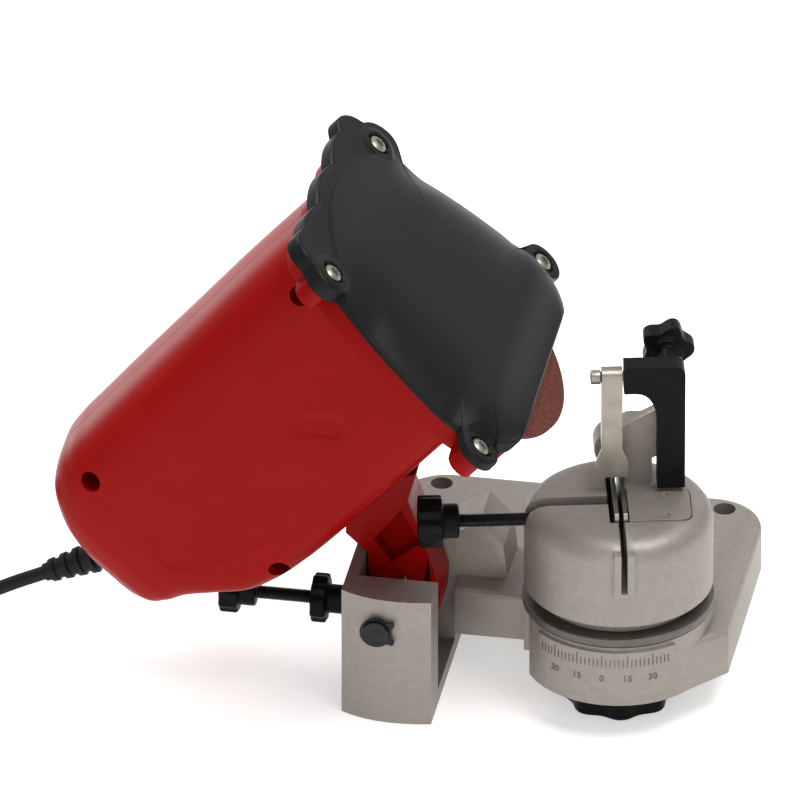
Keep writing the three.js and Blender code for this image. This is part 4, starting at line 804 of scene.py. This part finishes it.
# A profile turned about the knob's axis, its lobes strongest at the grip's rim.
def knobPiece(name, node, body, move, direction, place, radius, height, stem, lobes, hollow, bore):
    dished = [(onAxis, dish["depth"], 0), (radius * dish["floor"], dish["depth"], 0),
              (radius * dish["rim"], 0, dish["lobes"])]
    profile = ([(bore, 0, 0)] if bore else dished) + [(radius, 0, 1), (radius, height, 1)]
    profile += [(reach, along, 0) for reach, along in stem]
    last = profile[-1][1]
    profile += [(bore, last, 0), (bore, last / 2, 0), (bore, 0, 0)] if bore else [(onAxis, last, 0)]
    grid = turned(rounded(profile, grip["edge"]), grip["around"], lobes, hollow)
    mesh = turnedMesh(name, grid, move, direction, place)
    return addPiece(name, mesh, body, knobNylon, [node], sharp=50)


for name, row in knobs.items():
    knobPiece(name, *row)
print("knobs made")


# Threaded rods: a triangle wave of the height and the angle cut into a round bar
threads = {
    # name: (node, body, mover, from x, to x, y, z)
    "stopThread": ("stop_rod", "stop_screw", fromBase, -122.0, -72.0, -90.0, 15.3),
    "clampThread": ("clamp_rod", "clamp_screw", fromVise, -66.0, -3.1, 0.0, 68.0),
}
thread = {"radius": 3.0, "pitch": 1.0, "depth": 0.55, "steps": 6, "around": 32}


# The radius is the bar's less a depth times the distance from the crest, in shares of the pitch.
def threadPiece(name, node, body, move, low, high, y, z):
    height = np.arange(0, high - low, thread["pitch"] / thread["steps"])
    angle = np.linspace(0, 2 * math.pi, thread["around"], endpoint=False)
    wave = (height[:, None] / thread["pitch"] - angle / (2 * math.pi)) % 1
    reach = thread["radius"] - thread["depth"] * (1 - np.abs(2 * wave - 1))
    grid = np.stack([reach * np.cos(angle), reach * np.sin(angle), height[:, None] + 0 * angle], axis=-1)
    mesh = turnedMesh(name, grid, move, (1, 0, 0), (low, y, z))
    return addPiece(name, mesh, body, blackenedSteel, [node], sharp=60)


for name, row in threads.items():
    threadPiece(name, *row)
print("threads cut")


# Turned pieces: a profile about an axis, with broken edges
turnedPieces = {
    # name: (node, body, slot, look, mover, direction, place, sides, edge, profile of radius and height)
    "grindingWheel": ("grinding_disc", "spindle", "abrasive", bondedGrit, fromHead, (0, 0, 1), (0, 0, 0),
                      180, 0.5, [(11.5, -1.6), (54, -1.6), (54, 1.6), (11.5, 1.6), (11.5, 0), (11.5, -1.6)]),
    "viseSeat": ("vise_ring", "vise", "dark_steel", phosphatedSteel, fromVise, (0, 0, 1), (0, 0, 28.35),
                 160, 0.5, [(5.4, 0), (39.9, 0), (39.9, 3.6), (5.4, 3.6), (5.4, 1.8), (5.4, 0)]),
    "pivotPin": ("hinge_pin", "base", "dark_steel", blackenedSteel, fromBase, (0, 1, 0),
                 (-64.6, -135.2, 27.3), 64, 0.7,
                 [(onAxis, 0), (5.8, 0), (5.8, 2.6), (4, 2.6), (4, 83.1), (onAxis, 83.1)]),
    "pawlScrew": ("pawl_bolt", "chain_stop", "steel", platedSteel, fromVise, (1, 0, 0),
                  (-11.45, 9, 130.2), 48, 0.5,
                  [(onAxis, 0.9), (1.4, 0.9), (1.5, 0), (3, 0), (3, 4.2), (2, 4.2), (2, 28.2),
                   (onAxis, 28.2)]),
}


# The profile, its corners rounded, turned about the direction through the place.
def turnedPiece(name, node, body, slot, look, move, direction, place, sides, edge, profile):
    mesh = turnedMesh(name, turned(rounded(profile, edge), sides), move, direction, place)
    return addPiece(name, mesh, body, look, [node], sharp=40)


for name, row in turnedPieces.items():
    turnedPiece(name, *row)
print("turned pieces made")


# Front clip of the hinge pin: a sprung ring whose two ears stand out to the right
clip = {"place": (-64.6, -132.65, 27.3), "inner": 4.6, "outer": 6.7, "thick": 1.0, "earOut": 2.3,
        "earAngles": (-32.0, 32.0), "earWidth": 11.0, "earPower": 4, "around": 180}


# The outer radius is a plain one plus a bell curve of the angle at each ear.
def clipPiece():
    angle = np.linspace(-180, 180, clip["around"], endpoint=False)
    bells = sum(np.exp(-((angle - at) / clip["earWidth"]) ** clip["earPower"]) for at in clip["earAngles"])
    outer = clip["outer"] + clip["earOut"] * bells
    inner = np.full_like(outer, clip["inner"])
    reach = np.stack([inner, outer, outer, inner])
    height = np.array([0, 0, -clip["thick"], -clip["thick"]])[:, None] + 0 * angle
    turn = np.radians(angle)
    grid = np.stack([reach * np.cos(turn), height, reach * np.sin(turn)], axis=-1) + clip["place"]
    faces = gridFaces(*reach.shape, closed=True)
    mesh = meshOf("frontClip", fromBase(grid.reshape(-1, 3)), faces)
    return addPiece("frontClip", mesh, "base", blackenedSteel)


clipPiece()


# Return spring: a wire wound about the pin, with a leg at each end
spring = {"pin": (-64.6, 27.3), "from": -111.57, "to": -101.35, "radius": 6.6, "wire": 0.9, "turns": 3,
          "leg": 9.0, "legGap": 1.2, "steps": 180, "legSteps": 8, "sides": 12}


# x and z go round the pin with the angle while y advances evenly; the legs run along z.
def springPiece():
    share = np.linspace(0, 1, spring["steps"])
    angle = share * spring["turns"] * 2 * math.pi
    coil = np.stack([spring["pin"][0] + spring["radius"] * np.cos(angle),
                     spring["from"] + (spring["to"] - spring["from"]) * share,
                     spring["pin"][1] + spring["radius"] * np.sin(angle)], axis=-1)
    leg = np.linspace(spring["leg"], spring["legGap"], spring["legSteps"])[:, None] * [0.0, 0.0, 1.0]
    line = np.concatenate([coil[0] - leg, coil, coil[-1] + leg[::-1]])
    rings = tubeRings(line, spring["wire"], spring["sides"], (0.0, 1.0, 0.0))
    mesh = meshOf("woundSpring", *skin(fromBase(rings)))
    return addPiece("woundSpring", mesh, "base", platedSteel, ["return_spring"])


springPiece()
print("clip and spring made")


# Angle scale on the boss: cast tick marks and plain numbers on the raised band, in the casting's darker
# painted-shade grey
scale = {"centre": (30.2, -90.0), "radius": 41.2, "proud": 0.22, "sunk": 0.3, "low": 19.6, "width": 0.34,
         # ticks, in millimetres and in degrees
         "tick": 3.4, "longTick": 5.2, "span": 40, "every": 2.5, "longEvery": 15, "near": 0.1,
         "numbers": (-30, -15, 0, 15, 30), "height": 3.1, "textLow": 12.6, "textSunk": 0.03,
         # text is this much larger than its figures, and this thick each way
         "textSize": 1.35, "textHalf": 0.25, "textSteps": 3}


# x is an arc length round the boss from its front, y the height and z how far it stands out.
def onBoss(points):
    angle = points[:, 0] / scale["radius"] - math.pi / 2
    reach = scale["radius"] + points[:, 2]
    return np.stack([scale["centre"][0] + reach * np.cos(angle), scale["centre"][1] + reach * np.sin(angle),
                     points[:, 1]], axis=-1) * mm


# Each tick is a low box; the numbers are text made a mesh and bent round the boss.
def scalePiece():
    at = np.arange(-scale["span"], scale["span"] + scale["near"], scale["every"])
    arc = np.radians(at) * scale["radius"]
    long = np.abs(at % scale["longEvery"]) < scale["near"]
    tall = np.where(long, scale["longTick"], scale["tick"])
    unit = np.array([(x, y, z) for z in (0, 1) for x, y in ((0, 0), (1, 0), (1, 1), (0, 1))], float)
    size = np.stack([0 * arc + scale["width"], tall, 0 * arc + scale["proud"] + scale["sunk"]], axis=-1)
    corner = np.stack([arc - scale["width"] / 2, 0 * arc + scale["low"], 0 * arc - scale["sunk"]], axis=-1)
    box = unit[None] * size[:, None] + corner[:, None]
    side = np.array([(0, 3, 2, 1), (4, 5, 6, 7), (0, 1, 5, 4), (1, 2, 6, 5), (2, 3, 7, 6), (3, 0, 4, 7)])
    points = [box.reshape(-1, 3)]
    faces = (side[None] + len(unit) * np.arange(len(at))[:, None, None]).reshape(-1, 4).tolist()
    for number in scale["numbers"]:
        words = bpy.data.curves.new("scaleNumber", "FONT")
        words.body, words.align_x = str(abs(number)), "CENTER"
        words.size = scale["height"] * scale["textSize"]
        words.extrude, words.resolution_u = scale["textHalf"], scale["textSteps"]
        holder = bpy.data.objects.new("scaleNumber", words)
        shape = holder.to_mesh()
        corners = np.empty(len(shape.vertices) * 3, np.float32)
        shape.vertices.foreach_get("co", corners)
        place = [math.radians(number) * scale["radius"], scale["textLow"], -scale["textSunk"]]
        corners = corners.reshape(-1, 3) + place
        start = sum(len(block) for block in points)
        faces += [[start + corner for corner in face.vertices] for face in shape.polygons]
        points.append(corners)
        holder.to_mesh_clear()
        bpy.data.objects.remove(holder)
    mesh = meshOf("angleScale", onBoss(np.concatenate(points)), faces)
    # the ticks and figures are painted shade: the castShadow copy of the casting is darker
    return addPiece("angleScale", mesh, "base", castShadow, sharp=20)


scalePiece()
print("scale marked")


# Floor and soft studio light
studio = {"floor": -17.2, "reach": 3000.0, "paper": "#F4F4F3", "sky": 0.5, "glow": 0.42}
side = studio["reach"] * mm
level = studio["floor"] * mm
floorMesh = bpy.data.meshes.new("floor")
corners = [(-side, -side, level), (side, -side, level), (side, side, level), (-side, side, level)]
floorMesh.from_pydata(corners, [], [(0, 1, 2, 3)])
floor = bpy.data.objects.new("floor", floorMesh)
paper = finish("paperFloor", studio["paper"], 0.8, 0.0, (120, "#EFEFEE", 0.4))
paperSkin = paper.node_tree.nodes["Principled BSDF"].inputs
paperSkin["Emission Color"].default_value = linearColour("#FFFFFF")
paperSkin["Emission Strength"].default_value = studio["glow"]
floorMesh.materials.append(paper)
bpy.context.scene.collection.objects.link(floor)

lamps = [
    # name, place in metres, size in metres, power in watts
    ("keyLamp", (0.45, -0.25, 1.45), 0.8, 16),
    ("rimLamp", (-0.8, 0.5, 1.1), 0.7, 10),
    ("fillLamp", (0.1, -1.3, 0.45), 0.9, 3.5),
    ("backLamp", (0.4, 1.1, 0.9), 0.8, 2),
]
for name, place, size, power in lamps:
    lamp = bpy.data.lights.new(name, "AREA")
    lamp.shape, lamp.size, lamp.energy = "SQUARE", size, power
    holder = bpy.data.objects.new(name, lamp)
    holder.location = place
    holder.rotation_euler = (Vector(view["aim"]) * mm - Vector(place)).to_track_quat("-Z", "Y").to_euler()
    bpy.context.scene.collection.objects.link(holder)
world = bpy.data.worlds.new("studio")
bpy.context.scene.world = world
world.use_nodes = True
world.node_tree.nodes["Background"].inputs["Color"].default_value = linearColour("#FFFFFF")
world.node_tree.nodes["Background"].inputs["Strength"].default_value = studio["sky"]
print("studio lit")
